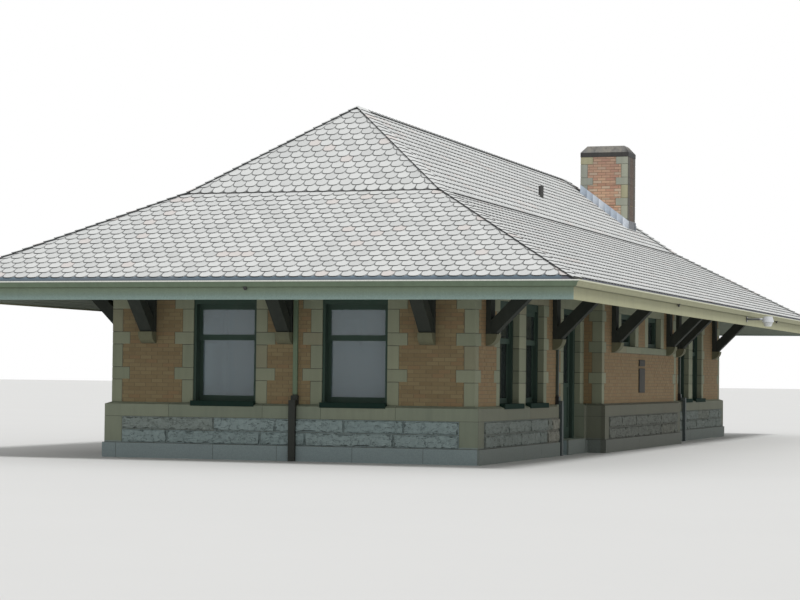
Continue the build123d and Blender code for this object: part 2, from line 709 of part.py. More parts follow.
# Roof slopes: flared lower ones over the eaves, steeper upper ones to the ridge
with BuildPart() as side_lower_slopes:
    with BuildSketch(Plane.XZ.offset(-EAVE_FRONT)):
        Polygon(*[(EAVE_X - d, z) for d, z in slab_section(FASCIA, KINK)], align=None)
    extrude(amount=EAVE_FRONT - EAVE_BACK)
    with BuildSketch(Plane.XY):
        Polygon(*side_outline(FASCIA, KINK), align=None)
    extrude(amount=ROOF_LIMIT, mode=Mode.INTERSECT)
    mirror(about=Plane.YZ)
side_lower_slopes.part.label = "side_lower_slopes"
export_step(side_lower_slopes.part, "parts/side_lower_slopes.step")

with BuildPart() as end_lower_slopes:
    with BuildSketch(Plane.YZ.offset(-EAVE_X)):
        Polygon(*[(EAVE_FRONT + d, z) for d, z in slab_section(FASCIA, KINK)], align=None)
    extrude(amount=2 * EAVE_X)
    with BuildSketch(Plane.XY):
        Polygon(*end_outline(FASCIA, KINK), align=None)
    extrude(amount=ROOF_LIMIT, mode=Mode.INTERSECT)
    mirror(about=back_mirror)
end_lower_slopes.part.label = "end_lower_slopes"
export_step(end_lower_slopes.part, "parts/end_lower_slopes.step")

with BuildPart() as track_upper_slope:
    with BuildSketch(Plane.XZ.offset(-EAVE_FRONT)):
        Polygon(*[(d - EAVE_X, z) for d, z in slab_section(KINK, EAVE_X)], align=None)
    extrude(amount=EAVE_FRONT - EAVE_BACK)
    with BuildSketch(Plane.XY):
        Polygon(*[(-x, y) for x, y in side_outline(KINK, EAVE_X)], align=None)
    extrude(amount=ROOF_LIMIT, mode=Mode.INTERSECT)
track_upper_slope.part.label = "track_upper_slope"
export_step(track_upper_slope.part, "parts/track_upper_slope.step")

with BuildPart() as street_upper_slope:
    mirror(track_upper_slope.part, about=Plane.YZ)
    box(STACK_X, STACK_Y, (0, STACK_TOP), Mode.SUBTRACT)
street_upper_slope.part.label = "street_upper_slope"
export_step(street_upper_slope.part, "parts/street_upper_slope.step")

with BuildPart() as end_upper_slopes:
    with BuildSketch(Plane.YZ.offset(-EAVE_X)):
        Polygon(*[(EAVE_FRONT + d, z) for d, z in slab_section(KINK, EAVE_X)], align=None)
    extrude(amount=2 * EAVE_X)
    with BuildSketch(Plane.XY):
        Polygon(*end_outline(KINK, EAVE_X), align=None)
    extrude(amount=ROOF_LIMIT, mode=Mode.INTERSECT)
    mirror(about=back_mirror)
end_upper_slopes.part.label = "end_upper_slopes"
export_step(end_upper_slopes.part, "parts/end_upper_slopes.step")

# Sloped boards under the eaves, from the fascia to the walls
with BuildPart() as soffit:
    add(under_deck)
    add(under_soffit, mode=Mode.SUBTRACT)
    inside = (FASCIA - EAVE_X, EAVE_X - FASCIA)
    box(inside, (EAVE_FRONT + FASCIA, EAVE_BACK - FASCIA), (FASCIA_FOOT, WALL_LIMIT), Mode.INTERSECT)
    box((-HALF, HALF), (0, LENGTH), (0, ROOF_LIMIT), Mode.SUBTRACT)
    box((-BAY_FACE, BAY_FACE), (BAY_START, BAY_END), (0, ROOF_LIMIT), Mode.SUBTRACT)
soffit.part.label = "soffit"
export_step(soffit.part, "parts/soffit.step")

# Fascia boards, mitred at the corners
with BuildPart() as side_fascias:
    with BuildSketch(Plane.XY.offset(FASCIA_FOOT)):
        Polygon(*side_outline(0, FASCIA), align=None)
    extrude(amount=FASCIA_TOP - FASCIA_FOOT)
    mirror(about=Plane.YZ)
side_fascias.part.label = "side_fascias"
export_step(side_fascias.part, "parts/side_fascias.step")

with BuildPart() as end_fascias:
    with BuildSketch(Plane.XY.offset(FASCIA_FOOT)):
        Polygon(*end_outline(0, FASCIA), align=None)
    extrude(amount=FASCIA_TOP - FASCIA_FOOT)
    mirror(about=back_mirror)
end_fascias.part.label = "end_fascias"
export_step(end_fascias.part, "parts/end_fascias.step")

# Ogee gutters, mitred at the corners
gutter_foot = EAVE_TOP - GUTTER_DEPTH
ogee = [(GUTTER_OUT * out, EAVE_TOP - GUTTER_DEPTH * down) for out, down in OGEE_STEPS]

with BuildPart() as side_gutters:
    with BuildSketch(Plane.XZ.offset(GUTTER_OUT - EAVE_FRONT)):
        with BuildLine():
            Polyline((EAVE_X + ogee[-1][0], gutter_foot), (EAVE_X, gutter_foot), (EAVE_X, EAVE_TOP),
                     (EAVE_X + GUTTER_OUT, EAVE_TOP), (EAVE_X + ogee[0][0], ogee[0][1]))
            Spline(*[(EAVE_X + out, z) for out, z in ogee])
        make_face()
    extrude(amount=EAVE_FRONT - EAVE_BACK - 2 * GUTTER_OUT)
    with BuildSketch(Plane.XY):
        Polygon(*side_outline(-GUTTER_OUT, 0), align=None)
    extrude(amount=ROOF_LIMIT, mode=Mode.INTERSECT)
    mirror(about=Plane.YZ)
side_gutters.part.label = "side_gutters"
export_step(side_gutters.part, "parts/side_gutters.step")

with BuildPart() as end_gutters:
    with BuildSketch(Plane.YZ.offset(-EAVE_X - GUTTER_OUT)):
        with BuildLine():
            Polyline((EAVE_FRONT - ogee[-1][0], gutter_foot), (EAVE_FRONT, gutter_foot), (EAVE_FRONT, EAVE_TOP),
                     (EAVE_FRONT - GUTTER_OUT, EAVE_TOP), (EAVE_FRONT - ogee[0][0], ogee[0][1]))
            Spline(*[(EAVE_FRONT - out, z) for out, z in ogee])
        make_face()
    extrude(amount=2 * (EAVE_X + GUTTER_OUT))
    with BuildSketch(Plane.XY):
        Polygon(*end_outline(-GUTTER_OUT, 0), align=None)
    extrude(amount=ROOF_LIMIT, mode=Mode.INTERSECT)
    mirror(about=back_mirror)
end_gutters.part.label = "end_gutters"
export_step(end_gutters.part, "parts/end_gutters.step")

# Raised shingle caps along the hips and the ridge, stopped at the chimney
with BuildPart() as hip_and_ridge_caps:
    hip_run = EAVE_X * 2 ** 0.5
    with BuildSketch(Plane.XY):
        for x, y, turn in [(EAVE_X, EAVE_FRONT, 135), (-EAVE_X, EAVE_FRONT, 45), (EAVE_X, EAVE_BACK, -135),
                           (-EAVE_X, EAVE_BACK, -45)]:
            with Locations(Location((x, y, 0), (0, 0, turn))):
                Rectangle(hip_run, CAP_WIDTH, align=(Align.MIN, Align.CENTER))
        with Locations((0, MIDDLE)):
            Rectangle(CAP_WIDTH, LENGTH + 2 * (OVERHANG - EAVE_X))
        with Locations((0, MIDDLE)):
            Rectangle(2 * EAVE_X, LENGTH + 2 * OVERHANG, mode=Mode.INTERSECT)
    extrude(amount=ROOF_LIMIT)
    add(hip_body(CAP_RISE), mode=Mode.INTERSECT)
    add(roof_surface, mode=Mode.SUBTRACT)
    cap_clear = [(near - FLASHING, far + FLASHING) for near, far in (STACK_X, STACK_Y)]
    box(cap_clear[0], cap_clear[1], (0, STACK_TOP), Mode.SUBTRACT)
hip_and_ridge_caps.part.label = "hip_and_ridge_caps"
export_step(hip_and_ridge_caps.part, "parts/hip_and_ridge_caps.step")

# Downspouts down the walls beside the brackets, their boots stepping out over the base
with BuildPart() as downspouts:
    across = (FRONT_PIPE_X - BOOT / 2, FRONT_PIPE_X + BOOT / 2)
    box((FRONT_PIPE_X - PIPE / 2, FRONT_PIPE_X + PIPE / 2), (-PIPE_DEPTH, 0), (BOOT_TOP, WALL_LIMIT))
    box(across, (-BOOT_DEPTH, 0), (WALL_FOOT, BOOT_TOP))
    box(across, (-FRONT_BOOT_OUT[1], 0), BOOT_SHOULDER)
    box(across, (-FRONT_BOOT_OUT[1], -FRONT_BOOT_OUT[0]), (0, BOOT_SHOULDER[1]))
    mirror(about=back_mirror)
    for side in (-1, 1):
        pipe = sorted((side * HALF, side * (HALF + PIPE_DEPTH)))
        collar = sorted((side * HALF, side * (HALF + BOOT_DEPTH)))
        for y, out in zip(STREET_PIPES, (STREET_BOOT_OUT, FRONT_BOOT_OUT)):
            arm = sorted((side * HALF, side * (HALF + out[1])))
            leg = sorted((side * (HALF + out[0]), side * (HALF + out[1])))
            across = (y - BOOT / 2, y + BOOT / 2)
            box(pipe, (y - PIPE / 2, y + PIPE / 2), (BOOT_TOP, WALL_LIMIT))
            box(collar, across, (WALL_FOOT, BOOT_TOP))
            box(arm, across, BOOT_SHOULDER)
            box(leg, across, (0, BOOT_SHOULDER[1]))
    add(under_soffit, mode=Mode.INTERSECT)
downspouts.part.label = "downspouts"
export_step(downspouts.part, "parts/downspouts.step")

# Chimney: a brick stack up from the floor through the street slope, with toothed stone corners
with BuildPart() as chimney_quoins:
    first = STACK_TOP - STACK_QUOIN_PAIRS * (STACK_LOW_ROW + STACK_TALL_ROW)
    for foot, top, wide in stone_rows(STACK_QUOIN_PAIRS, first, STACK_TALL_ROW, STACK_LOW_ROW):
        size = STACK_QUOIN_WIDE if wide else STACK_QUOIN_NARROW
        side = STACK_QUOIN_SIDE if wide else STACK_QUOIN_NARROW
        for x in ((STACK_X[0], STACK_X[0] + size), (STACK_X[1] - size, STACK_X[1])):
            box(x, (STACK_Y[0], STACK_Y[0] + side), (foot, top))
            box(x, (STACK_Y[1] - side, STACK_Y[1]), (foot, top))
chimney_quoins.part.label = "chimney_quoins"
export_step(chimney_quoins.part, "parts/chimney_quoins.step")

with BuildPart() as chimney_stack:
    box(STACK_X, STACK_Y, (FLOOR_TOP, STACK_TOP))
    add(chimney_quoins.part, mode=Mode.SUBTRACT)
chimney_stack.part.label = "chimney_stack"
export_step(chimney_stack.part, "parts/chimney_stack.step")

with BuildPart() as chimney_cap:
    stack_middle = ((STACK_X[0] + STACK_X[1]) / 2, (STACK_Y[0] + STACK_Y[1]) / 2)
    stack_size = (STACK_X[1] - STACK_X[0] + 2 * CAP_OUT, STACK_Y[1] - STACK_Y[0] + 2 * CAP_OUT)
    for foot, height, slope in ((STACK_TOP, CAP_BAND, 0), (STACK_TOP + CAP_BAND, CAP_CREST, CAP_SLOPE)):
        with BuildSketch(Plane.XY.offset(foot)):
            with Locations(stack_middle):
                Rectangle(*stack_size)
        extrude(amount=height, taper=slope)
    with BuildSketch(Plane.XY.offset(STACK_TOP + CAP_BAND + CAP_CREST)):
        with Locations(stack_middle):
            Rectangle(*FLUE)
    extrude(amount=-FLUE_DEPTH, mode=Mode.SUBTRACT)
chimney_cap.part.label = "chimney_cap"
export_step(chimney_cap.part, "parts/chimney_cap.step")

# Metal flashing turned up round the stack along the slope
with BuildPart() as chimney_flashing:
    box(cap_clear[0], cap_clear[1], (0, STACK_TOP))
    box(STACK_X, STACK_Y, (0, STACK_TOP), Mode.SUBTRACT)
    add(hip_body(FLASHING_RISE), mode=Mode.INTERSECT)
    add(roof_surface, mode=Mode.SUBTRACT)
chimney_flashing.part.label = "chimney_flashing"
export_step(chimney_flashing.part, "parts/chimney_flashing.step")

# Small vent pipe on the street slope
with BuildPart() as vent_pipe:
    with BuildSketch(Plane.XY.offset(EAVE_TOP)):
        with Locations(VENT_PLACE):
            Circle(VENT_RADIUS)
    extrude(amount=VENT_TOP - EAVE_TOP)
    add(roof_surface, mode=Mode.SUBTRACT)
vent_pipe.part.label = "vent_pipe"
export_step(vent_pipe.part, "parts/vent_pipe.step")

# Yard lamp on an arm from the street fascia: an arm, and a hooded head with its lens
with BuildPart() as yard_lamp:
    with BuildSketch(Plane.YZ.offset(EAVE_X)):
        with Locations((LAMP_Y, LAMP_ARM_Z)):
            Rectangle(LAMP_PLATE, LAMP_PLATE)
    extrude(amount=LAMP_PLATE_DEPTH)
    with BuildSketch(Plane.YZ.offset(EAVE_X)):
        with Locations((LAMP_Y, LAMP_ARM_Z)):
            Circle(LAMP_ARM_RADIUS)
    extrude(amount=LAMP_ARM)
    with BuildSketch(Plane.XY.offset(LAMP_ARM_Z - LAMP_HOOD / 2)):
        with Locations((EAVE_X + LAMP_ARM, LAMP_Y)):
            Circle(LAMP_HOOD_RADIUS)
    extrude(amount=LAMP_HOOD, taper=LAMP_HOOD_SLOPE)
yard_lamp.part.label = "yard_lamp"
export_step(yard_lamp.part, "parts/yard_lamp.step")

with BuildPart() as lamp_lens:
    with BuildSketch(Plane.XY.offset(LAMP_ARM_Z - LAMP_HOOD / 2)):
        with Locations((EAVE_X + LAMP_ARM, LAMP_Y)):
            Circle(LAMP_LENS_RADIUS)
    extrude(amount=-LAMP_LENS, taper=LAMP_LENS_SLOPE)
lamp_lens.part.label = "lamp_lens"
export_step(lamp_lens.part, "parts/lamp_lens.step")
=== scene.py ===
"""Looks of the railway station building: masonry, shingles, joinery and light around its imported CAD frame."""

import logging
import math
from dataclasses import dataclass, field
from enum import Enum
from itertools import pairwise, product
from random import Random

import bpy
from bpy.types import ID, Material, Mesh, Node, NodeOutputs, NodeSocket, NodeTree, Object
from mathutils import Euler, Matrix, Vector, noise

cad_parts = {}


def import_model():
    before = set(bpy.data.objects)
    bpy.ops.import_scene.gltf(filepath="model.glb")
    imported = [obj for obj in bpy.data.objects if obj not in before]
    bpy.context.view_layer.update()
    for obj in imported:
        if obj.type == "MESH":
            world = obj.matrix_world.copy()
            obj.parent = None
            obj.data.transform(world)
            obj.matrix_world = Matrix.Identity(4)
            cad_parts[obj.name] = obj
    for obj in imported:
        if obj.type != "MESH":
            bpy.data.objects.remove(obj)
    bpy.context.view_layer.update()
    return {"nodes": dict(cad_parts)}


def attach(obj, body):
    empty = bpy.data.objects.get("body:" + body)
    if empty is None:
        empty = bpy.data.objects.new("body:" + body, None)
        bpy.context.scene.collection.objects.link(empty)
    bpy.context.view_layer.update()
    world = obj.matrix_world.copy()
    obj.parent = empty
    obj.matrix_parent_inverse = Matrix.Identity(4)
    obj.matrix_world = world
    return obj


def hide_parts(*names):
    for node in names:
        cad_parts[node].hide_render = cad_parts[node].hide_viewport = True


LOG = logging.getLogger("station")

Pair = tuple[float, float]
Triple = tuple[float, float, float]
Colour = Triple
Face = tuple[int, ...]

# Sizes shared with the CAD frame, in metres
HALF = 3.3
LENGTH = 22.1
MIDDLE = LENGTH / 2
BAY_START = 7.45
BAY_END = 14.65
BAY_FACE = 3.67
WALL_FOOT = 0.96
HEAD = 2.79
LINTEL_TOP = 3.07
WALL_TOP = 3.85
BAY_WALL_TOP = 3.65
BAY_SILL = (1.985, 2.12)
TALL_ROW = 0.395
LOW_ROW = 0.215
COURSES_PER_PAIR = 9
OVERHANG = 2.22
EAVE_X = 5.52
EAVE_TOP = 2.96
KINK = 3.17
LOW_PITCH = 0.532
HIGH_PITCH = 0.745
END_OPENINGS = ((-1.77, -0.6), (0.6, 1.77))
NEAR_PAIR = ((1.46, 2.7), (3.14, 4.39))
FAR_PAIR = ((17.0, 18.05), (18.5, 19.7))
DOOR = (5.83, 7.17)
RECESS = 5.17
REVEAL = 0.115
END_REVEAL = 0.02
SKIN = 0.002
BAY_OPENINGS = ((9.09, 10.43), (11.67, 13.01))
STACK_X = (0.48, 1.68)
STACK_Y = (18.44, 19.23)
STACK_TOP = 6.96
# Each eave: name, half its length, its distance from the middle, its heading and the way out of it
EAVES = (("front", EAVE_X, MIDDLE + OVERHANG, 0.0, Vector((0, -1))),
         ("back", EAVE_X, MIDDLE + OVERHANG, math.pi, Vector((0, 1))),
         ("street", MIDDLE + OVERHANG, EAVE_X, math.pi / 2, Vector((1, 0))),
         ("track", MIDDLE + OVERHANG, EAVE_X, -math.pi / 2, Vector((-1, 0))))


class Side(Enum):
    """A wall face, by the axis it looks along, its plane, and the way out of it."""

    FRONT = ("y", 0.0, -1)
    BACK = ("y", LENGTH, 1)
    STREET = ("x", HALF, 1)
    TRACK = ("x", -HALF, -1)
    STREET_BAY = ("x", BAY_FACE, 1)
    TRACK_BAY = ("x", -BAY_FACE, -1)
    NEAR_RETURN = ("y", BAY_START, -1)
    FAR_RETURN = ("y", BAY_END, 1)
    STACK_NEAR = ("y", STACK_Y[0], -1)
    STACK_FAR = ("y", STACK_Y[1], 1)
    STACK_STREET = ("x", STACK_X[1], 1)
    STACK_TRACK = ("x", STACK_X[0], -1)

    def point(self, along: float, up: float, out: float) -> Vector:
        """Point on this face, by its place along the wall, its height and how far it stands out."""
        axis, plane, way = self.value
        return Vector((along, plane + way * out, up)) if axis == "y" else Vector((plane + way * out, along, up))

    @property
    def turned(self) -> bool:
        """Whether along, up and out make a left-handed set on this face."""
        axis, _, way = self.value
        return (axis == "y") == (way == 1)

    def block(self, along: Pair, up: Pair, out: Pair) -> tuple[Vector, Vector]:
        """Box on this face.

        Args:
            along: Its two edges along the wall.
            up: Its foot and top.
            out: How far its back and face stand out from the wall.

        Returns:
            The box's lowest and highest corners.
        """
        axis, plane, way = self.value
        depth = sorted(plane + way * d for d in out)
        if axis == "y":
            return Vector((min(along), depth[0], up[0])), Vector((max(along), depth[1], up[1]))
        return Vector((depth[0], min(along), up[0])), Vector((depth[1], max(along), up[1]))


def mirrored(low: Vector, high: Vector, across: bool, back: bool) -> tuple[Vector, Vector]:
    """Box mirrored across the building's middle lines.

    Args:
        low: Lowest corner.
        high: Highest corner.
        across: Whether it is mirrored to the track side.
        back: Whether it is mirrored to the back end.

    Returns:
        The mirrored box's lowest and highest corners.
    """
    xs = sorted((-low.x, -high.x)) if across else [low.x, high.x]
    ys = sorted((LENGTH - low.y, LENGTH - high.y)) if back else [low.y, high.y]
    return Vector((xs[0], ys[0], low.z)), Vector((xs[1], ys[1], high.z))


def stone_rows(count: int) -> list[tuple[float, float, bool]]:
    """Rows of toothed stones over the base.

    Args:
        count: Number of pairs of a narrow and a wide stone.

    Returns:
        Foot, top and whether the row is the wide one, for each row.
    """
    rows = []
    for pair in range(count):
        foot = WALL_FOOT + pair * (TALL_ROW + LOW_ROW)
        rows.append((foot, foot + TALL_ROW, False))
        rows.append((foot + TALL_ROW, foot + TALL_ROW + LOW_ROW, True))
    return rows


def place_object(name: str, data: ID) -> Object:
    """Makes an object of some data and links it to the scene.

    Args:
        name: Its name.
        data: Its data.

    Returns:
        The new object.
    """
    made = bpy.data.objects.new(name, data)
    bpy.context.scene.collection.objects.link(made)
    return made


def make_mesh(name: str, points: list[Vector], faces: list[Face]) -> Mesh:
    """Makes a mesh of points and faces.

    Args:
        name: Its name.
        points: Its points.
        faces: Its faces, as numbers of points.

    Returns:
        The new mesh.
    """
    mesh = bpy.data.meshes.new(name)
    mesh.from_pydata([tuple(point) for point in points], [], faces)
    return mesh


def mark_mesh(mesh: Mesh, name: str, values: list[float], domain: str = "POINT") -> None:
    """Writes one number on each point or face of a mesh."""
    mesh.attributes.new(name, "FLOAT", domain).data.foreach_set("value", values)


class Graph:
    """A node tree being wired."""

    def __init__(self, tree: NodeTree) -> None:
        """Takes the tree to wire."""
        self.tree = tree

    def add(self, kind: str, values: dict | None = None, **props: object) -> Node:
        """Adds a node.

        Args:
            kind: Its type's identifier.
            values: Input name or number to a value, or to a socket to link from.
            **props: Properties of the node.

        Returns:
            The new node.
        """
        node = self.tree.nodes.new(kind)
        for name, value in props.items():
            setattr(node, name, value)
        for name, value in (values or {}).items():
            if isinstance(value, NodeSocket):
                self.tree.links.new(value, node.inputs[name])
            else:
                node.inputs[name].default_value = value
        return node

    def math(self, operation: str, *values: object) -> NodeSocket:
        """Adds a Math node and returns its output."""
        return self.add("ShaderNodeMath", dict(enumerate(values)), operation=operation).outputs[0]

    def mix(self, factor: object, first: object, second: object, blend: str = "MIX") -> NodeSocket:
        """Adds a colour Mix node.

        Args:
            factor: Share of the second colour.
            first: A colour, or a socket to link from.
            second: Another one.
            blend: How they are mixed.

        Returns:
            The mixed colour.
        """
        first, second = (v if isinstance(v, NodeSocket) else (*v, 1.0) for v in (first, second))
        node = self.add("ShaderNodeMix", {0: factor, 6: first, 7: second}, data_type="RGBA", blend_type=blend)
        return node.outputs[2]

    def span(self, value: object, low: float, high: float) -> NodeSocket:
        """Adds a Map Range node from low..high to 0..1 and returns its output."""
        return self.add("ShaderNodeMapRange", {0: value, 1: low, 2: high, 3: 0.0, 4: 1.0}).outputs[0]

    def noise(self, place: object, scale: object, detail: float, roughness: float = 0.5) -> NodeSocket:
        """Adds a Noise Texture node and returns its factor."""
        return self.add("ShaderNodeTexNoise", {"Vector": place, "Scale": scale, "Detail": detail,
                                               "Roughness": roughness}).outputs["Fac"]

    def grey(self, value: object) -> NodeSocket:
        """Adds a colour whose three channels share one value and returns its output."""
        return self.add("ShaderNodeCombineColor", {0: value, 1: value, 2: value}).outputs[0]

    def place(self) -> NodeSocket:
        """Adds the object coordinates of a material and returns them."""
        return self.add("ShaderNodeTexCoord").outputs["Object"]

    def parts(self, vector: object = None) -> NodeOutputs:
        """Adds the split of a vector, or of each point's position in a geometry tree, and returns its outputs."""
        vector = vector or self.add("GeometryNodeInputPosition").outputs[0]
        return self.add("ShaderNodeSeparateXYZ", {0: vector}).outputs


PATCH_SPAN = (0.3, 0.7)
STREAK_SPAN = (0.45, 0.72)
STREAK_STRETCH = (9.0, 9.0, 0.7)


def weathering_group() -> NodeTree:
    """Node group for stains: patches, streaks that run down, and fine grain, as masks.

    Returns:
        The group.
    """
    tree = bpy.data.node_groups.new("weathering", "ShaderNodeTree")
    for name, kind in (("Place", "NodeSocketVector"), ("Patch scale", "NodeSocketFloat"),
                       ("Grain scale", "NodeSocketFloat")):
        tree.interface.new_socket(name, in_out="INPUT", socket_type=kind)
    for name in ("Patches", "Streaks", "Grain"):
        tree.interface.new_socket(name, in_out="OUTPUT", socket_type="NodeSocketFloat")
    g = Graph(tree)
    given = g.add("NodeGroupInput").outputs
    patches = g.noise(given["Place"], given["Patch scale"], 6.0, 0.6)
    stretched = g.add("ShaderNodeMapping", {"Vector": given["Place"], "Scale": STREAK_STRETCH}).outputs[0]
    streaks = g.noise(stretched, 1.0, 4.0)
    grain = g.noise(given["Place"], given["Grain scale"], 5.0, 0.7)
    out = g.add("NodeGroupOutput")
    for name, value in (("Patches", g.span(patches, *PATCH_SPAN)), ("Streaks", g.span(streaks, *STREAK_SPAN)),
                        ("Grain", grain)):
        tree.links.new(value, out.inputs[name])
    return tree


@dataclass(frozen=True)
class Zone:
    """A part of the building where a finish takes another colour, between two places along one axis."""

    axis: int
    start: float
    end: float
    colour: Colour
    amount: float = 0.9
    grain: Pair = (0.8, 0.6)

    def blend(self, g: Graph, colour: NodeSocket, grain: NodeSocket) -> NodeSocket:
        """Colour with this zone laid over it, in the finish's own grain.

        Args:
            g: The material's graph.
            colour: The finish's own colour.
            grain: The finish's grain.

        Returns:
            The colour with the zone laid over it.
        """
        along = g.parts(g.place())[self.axis]
        mask = g.math("MULTIPLY", g.span(along, self.start, self.end), self.amount)
        grey = g.grey(g.math("MULTIPLY_ADD", grain, *self.grain))
        return g.mix(mask, colour, g.mix(1.0, self.colour, grey, "MULTIPLY"))


def start_material(name: str) -> tuple[Material, Graph]:
    """Makes an empty node material.

    Args:
        name: Its name.

    Returns:
        The material and its graph.
    """
    material = bpy.data.materials.new(name)
    material.use_nodes = True
    material.node_tree.nodes.clear()
    return material, Graph(material.node_tree)


@dataclass(frozen=True)
class Finish:
    """A matte finish: a base colour with a second one in patches, streaks that run down it, and grain."""

    name: str
    colour: Colour
    patch: Colour
    streak: Colour
    patch_amount: float = 0.6
    streak_amount: float = 0.3
    patch_scale: float = 1.4
    grain_scale: float = 40.0
    grain_amount: float = 0.3
    roughness: float = 0.85
    bump: float = 0.15
    bump_depth: float = 0.004
    specular: float = 0.5
    zones: tuple[Zone, ...] = ()

    def start(self) -> tuple[Material, Graph, NodeSocket, NodeSocket]:
        """Makes the material up to its colour.

        Returns:
            The material, its graph, the colour and the grain.
        """
        material, g = start_material(self.name)
        group = bpy.data.node_groups.get("weathering") or weathering_group()
        wear = g.add("ShaderNodeGroup", node_tree=group)
        g.tree.links.new(g.place(), wear.inputs["Place"])
        wear.inputs["Patch scale"].default_value = self.patch_scale
        wear.inputs["Grain scale"].default_value = self.grain_scale
        colour = g.mix(g.math("MULTIPLY", wear.outputs["Patches"], self.patch_amount), self.colour, self.patch)
        colour = g.mix(g.math("MULTIPLY", wear.outputs["Streaks"], self.streak_amount), colour, self.streak)
        shade = g.math("MULTIPLY_ADD", wear.outputs["Grain"], self.grain_amount, 1.0 - self.grain_amount / 2)
        return material, g, g.mix(1.0, colour, g.grey(shade), "MULTIPLY"), wear.outputs["Grain"]

    def finish(self, g: Graph, colour: NodeSocket, height: NodeSocket) -> None:
        """Ends the material in a Principled shader.

        Args:
            g: The material's graph.
            colour: Its colour.
            height: The height that its bump follows.
        """
        for zone in self.zones:
            colour = zone.blend(g, colour, height)
        bump = g.add("ShaderNodeBump", {"Strength": self.bump, "Distance": self.bump_depth, "Height": height})
        shader = g.add("ShaderNodeBsdfPrincipled", {
            "Base Color": colour, "Roughness": self.roughness, "Specular IOR Level": self.specular,
            "Normal": bump.outputs[0]})
        g.add("ShaderNodeOutputMaterial", {"Surface": shader.outputs[0]})

    def material(self) -> Material:
        """The finished material.

        Returns:
            The material.
        """
        material, g, colour, grain = self.start()
        self.finish(g, colour, grain)
        return material


@dataclass(frozen=True)
class PieceFinish(Finish):
    """A finish whose pieces each take a shade of their own, from their tint, with painted shade on their marked
    edges if it has an edge colour.
    """

    pale: Colour = (0.5, 0.5, 0.5)
    deep: Colour = (0.3, 0.3, 0.3)
    odd: Colour = (0.5, 0.4, 0.4)
    odd_share: float = 0.08
    tint_amount: float = 0.6
    # Colour of the painted shade on the edges, steps and laps that the mesh marks
    edge: Colour | None = None

    def material(self) -> Material:
        """The finished material, toned by the tint attribute of its mesh, with painted shade where the mesh marks
        its edges.

        Returns:
            The material.
        """
        material, g, colour, grain = self.start()
        tint = g.add("ShaderNodeAttribute", attribute_name="tint").outputs["Fac"]
        own = g.mix(g.span(tint, 0.0, 1.0 - self.odd_share), self.deep, self.pale)
        own = g.mix(g.math("GREATER_THAN", tint, 1.0 - self.odd_share), own, self.odd)
        colour = g.mix(self.tint_amount, colour, own)
        # Painted shade: the marked edges darken towards the edge colour
        if self.edge:
            shaded_rim = g.add("ShaderNodeAttribute", attribute_name="shaded_rim").outputs["Fac"]
            colour = g.mix(shaded_rim, colour, self.edge)
        self.finish(g, colour, grain)
        return material


@dataclass(frozen=True)
class RockFinish(PieceFinish):
    """A piece finish with thin crevices that wander across the face, as a chisel leaves them, bumped in and darkened
    with painted shade.
    """

    crevice_scale: float = 5.0
    crevice_width: float = 0.012
    crevice_amount: float = 0.75
    tilt: Triple = (0.5, 0.5, 0.0)
    stretch: Triple = (1.0, 0.6, 2.2)

    def finish(self, g: Graph, colour: NodeSocket, height: NodeSocket) -> None:
        """Ends the material with the crevices in its bump, and as painted shade in its colour.

        Args:
            g: The material's graph.
            colour: Its colour.
            height: The height that its bump follows.
        """
        tilted = g.add("ShaderNodeMapping", {"Vector": g.place(), "Rotation": self.tilt, "Scale": self.stretch})
        wander = g.noise(tilted.outputs[0], self.crevice_scale, 4.0, 0.62)
        off = g.math("ABSOLUTE", g.math("SUBTRACT", wander, 0.5))
        # Painted shade in the crevices; the same mask also bumps them in
        mask = g.math("MULTIPLY", g.span(off, self.crevice_width, 0.0), self.crevice_amount)
        super().finish(g, g.mix(mask, colour, self.edge), g.math("SUBTRACT", height, mask))


@dataclass(frozen=True)
class Glazing:
    """Window glass that lets the dark rooms show, with painted shade making it darker on the long sides, where it is
    also duller.
    """

    name: str
    colour: Colour
    # Painted shade: the glass of the long sides is darker
    side_shade_colour: Colour = (0.10, 0.12, 0.12)
    side: Pair = (3.0, 3.02)
    specular: Pair = (0.5, 0.12)
    roughness: float = 0.03
    transmission: float = 0.75
    wave_scale: float = 2.5
    wave_depth: float = 0.01
    dust_scale: float = 14.0
    dust_amount: float = 0.08

    def material(self) -> Material:
        """The finished material.

        Returns:
            The material.
        """
        material, g = start_material(self.name)
        place = g.place()
        waves, dust = g.noise(place, self.wave_scale, 1.0), g.noise(place, self.dust_scale, 5.0)
        bump = g.add("ShaderNodeBump", {"Strength": 0.05, "Distance": self.wave_depth, "Height": waves})
        rough = g.math("MULTIPLY_ADD", dust, self.dust_amount, self.roughness)
        across = g.math("ABSOLUTE", g.parts(place)[0])
        long_side = g.span(across, *self.side)
        gloss = g.math("MULTIPLY_ADD", long_side, self.specular[1] - self.specular[0], self.specular[0])
        shader = g.add("ShaderNodeBsdfPrincipled", {
            "Base Color": g.mix(long_side, self.colour, self.side_shade_colour), "Roughness": rough, "Metallic": 0.0,
            "Transmission Weight": self.transmission, "IOR": 1.5, "Specular IOR Level": gloss,
            "Normal": bump.outputs[0]})
        g.add("ShaderNodeOutputMaterial", {"Surface": shader.outputs[0]})
        return material


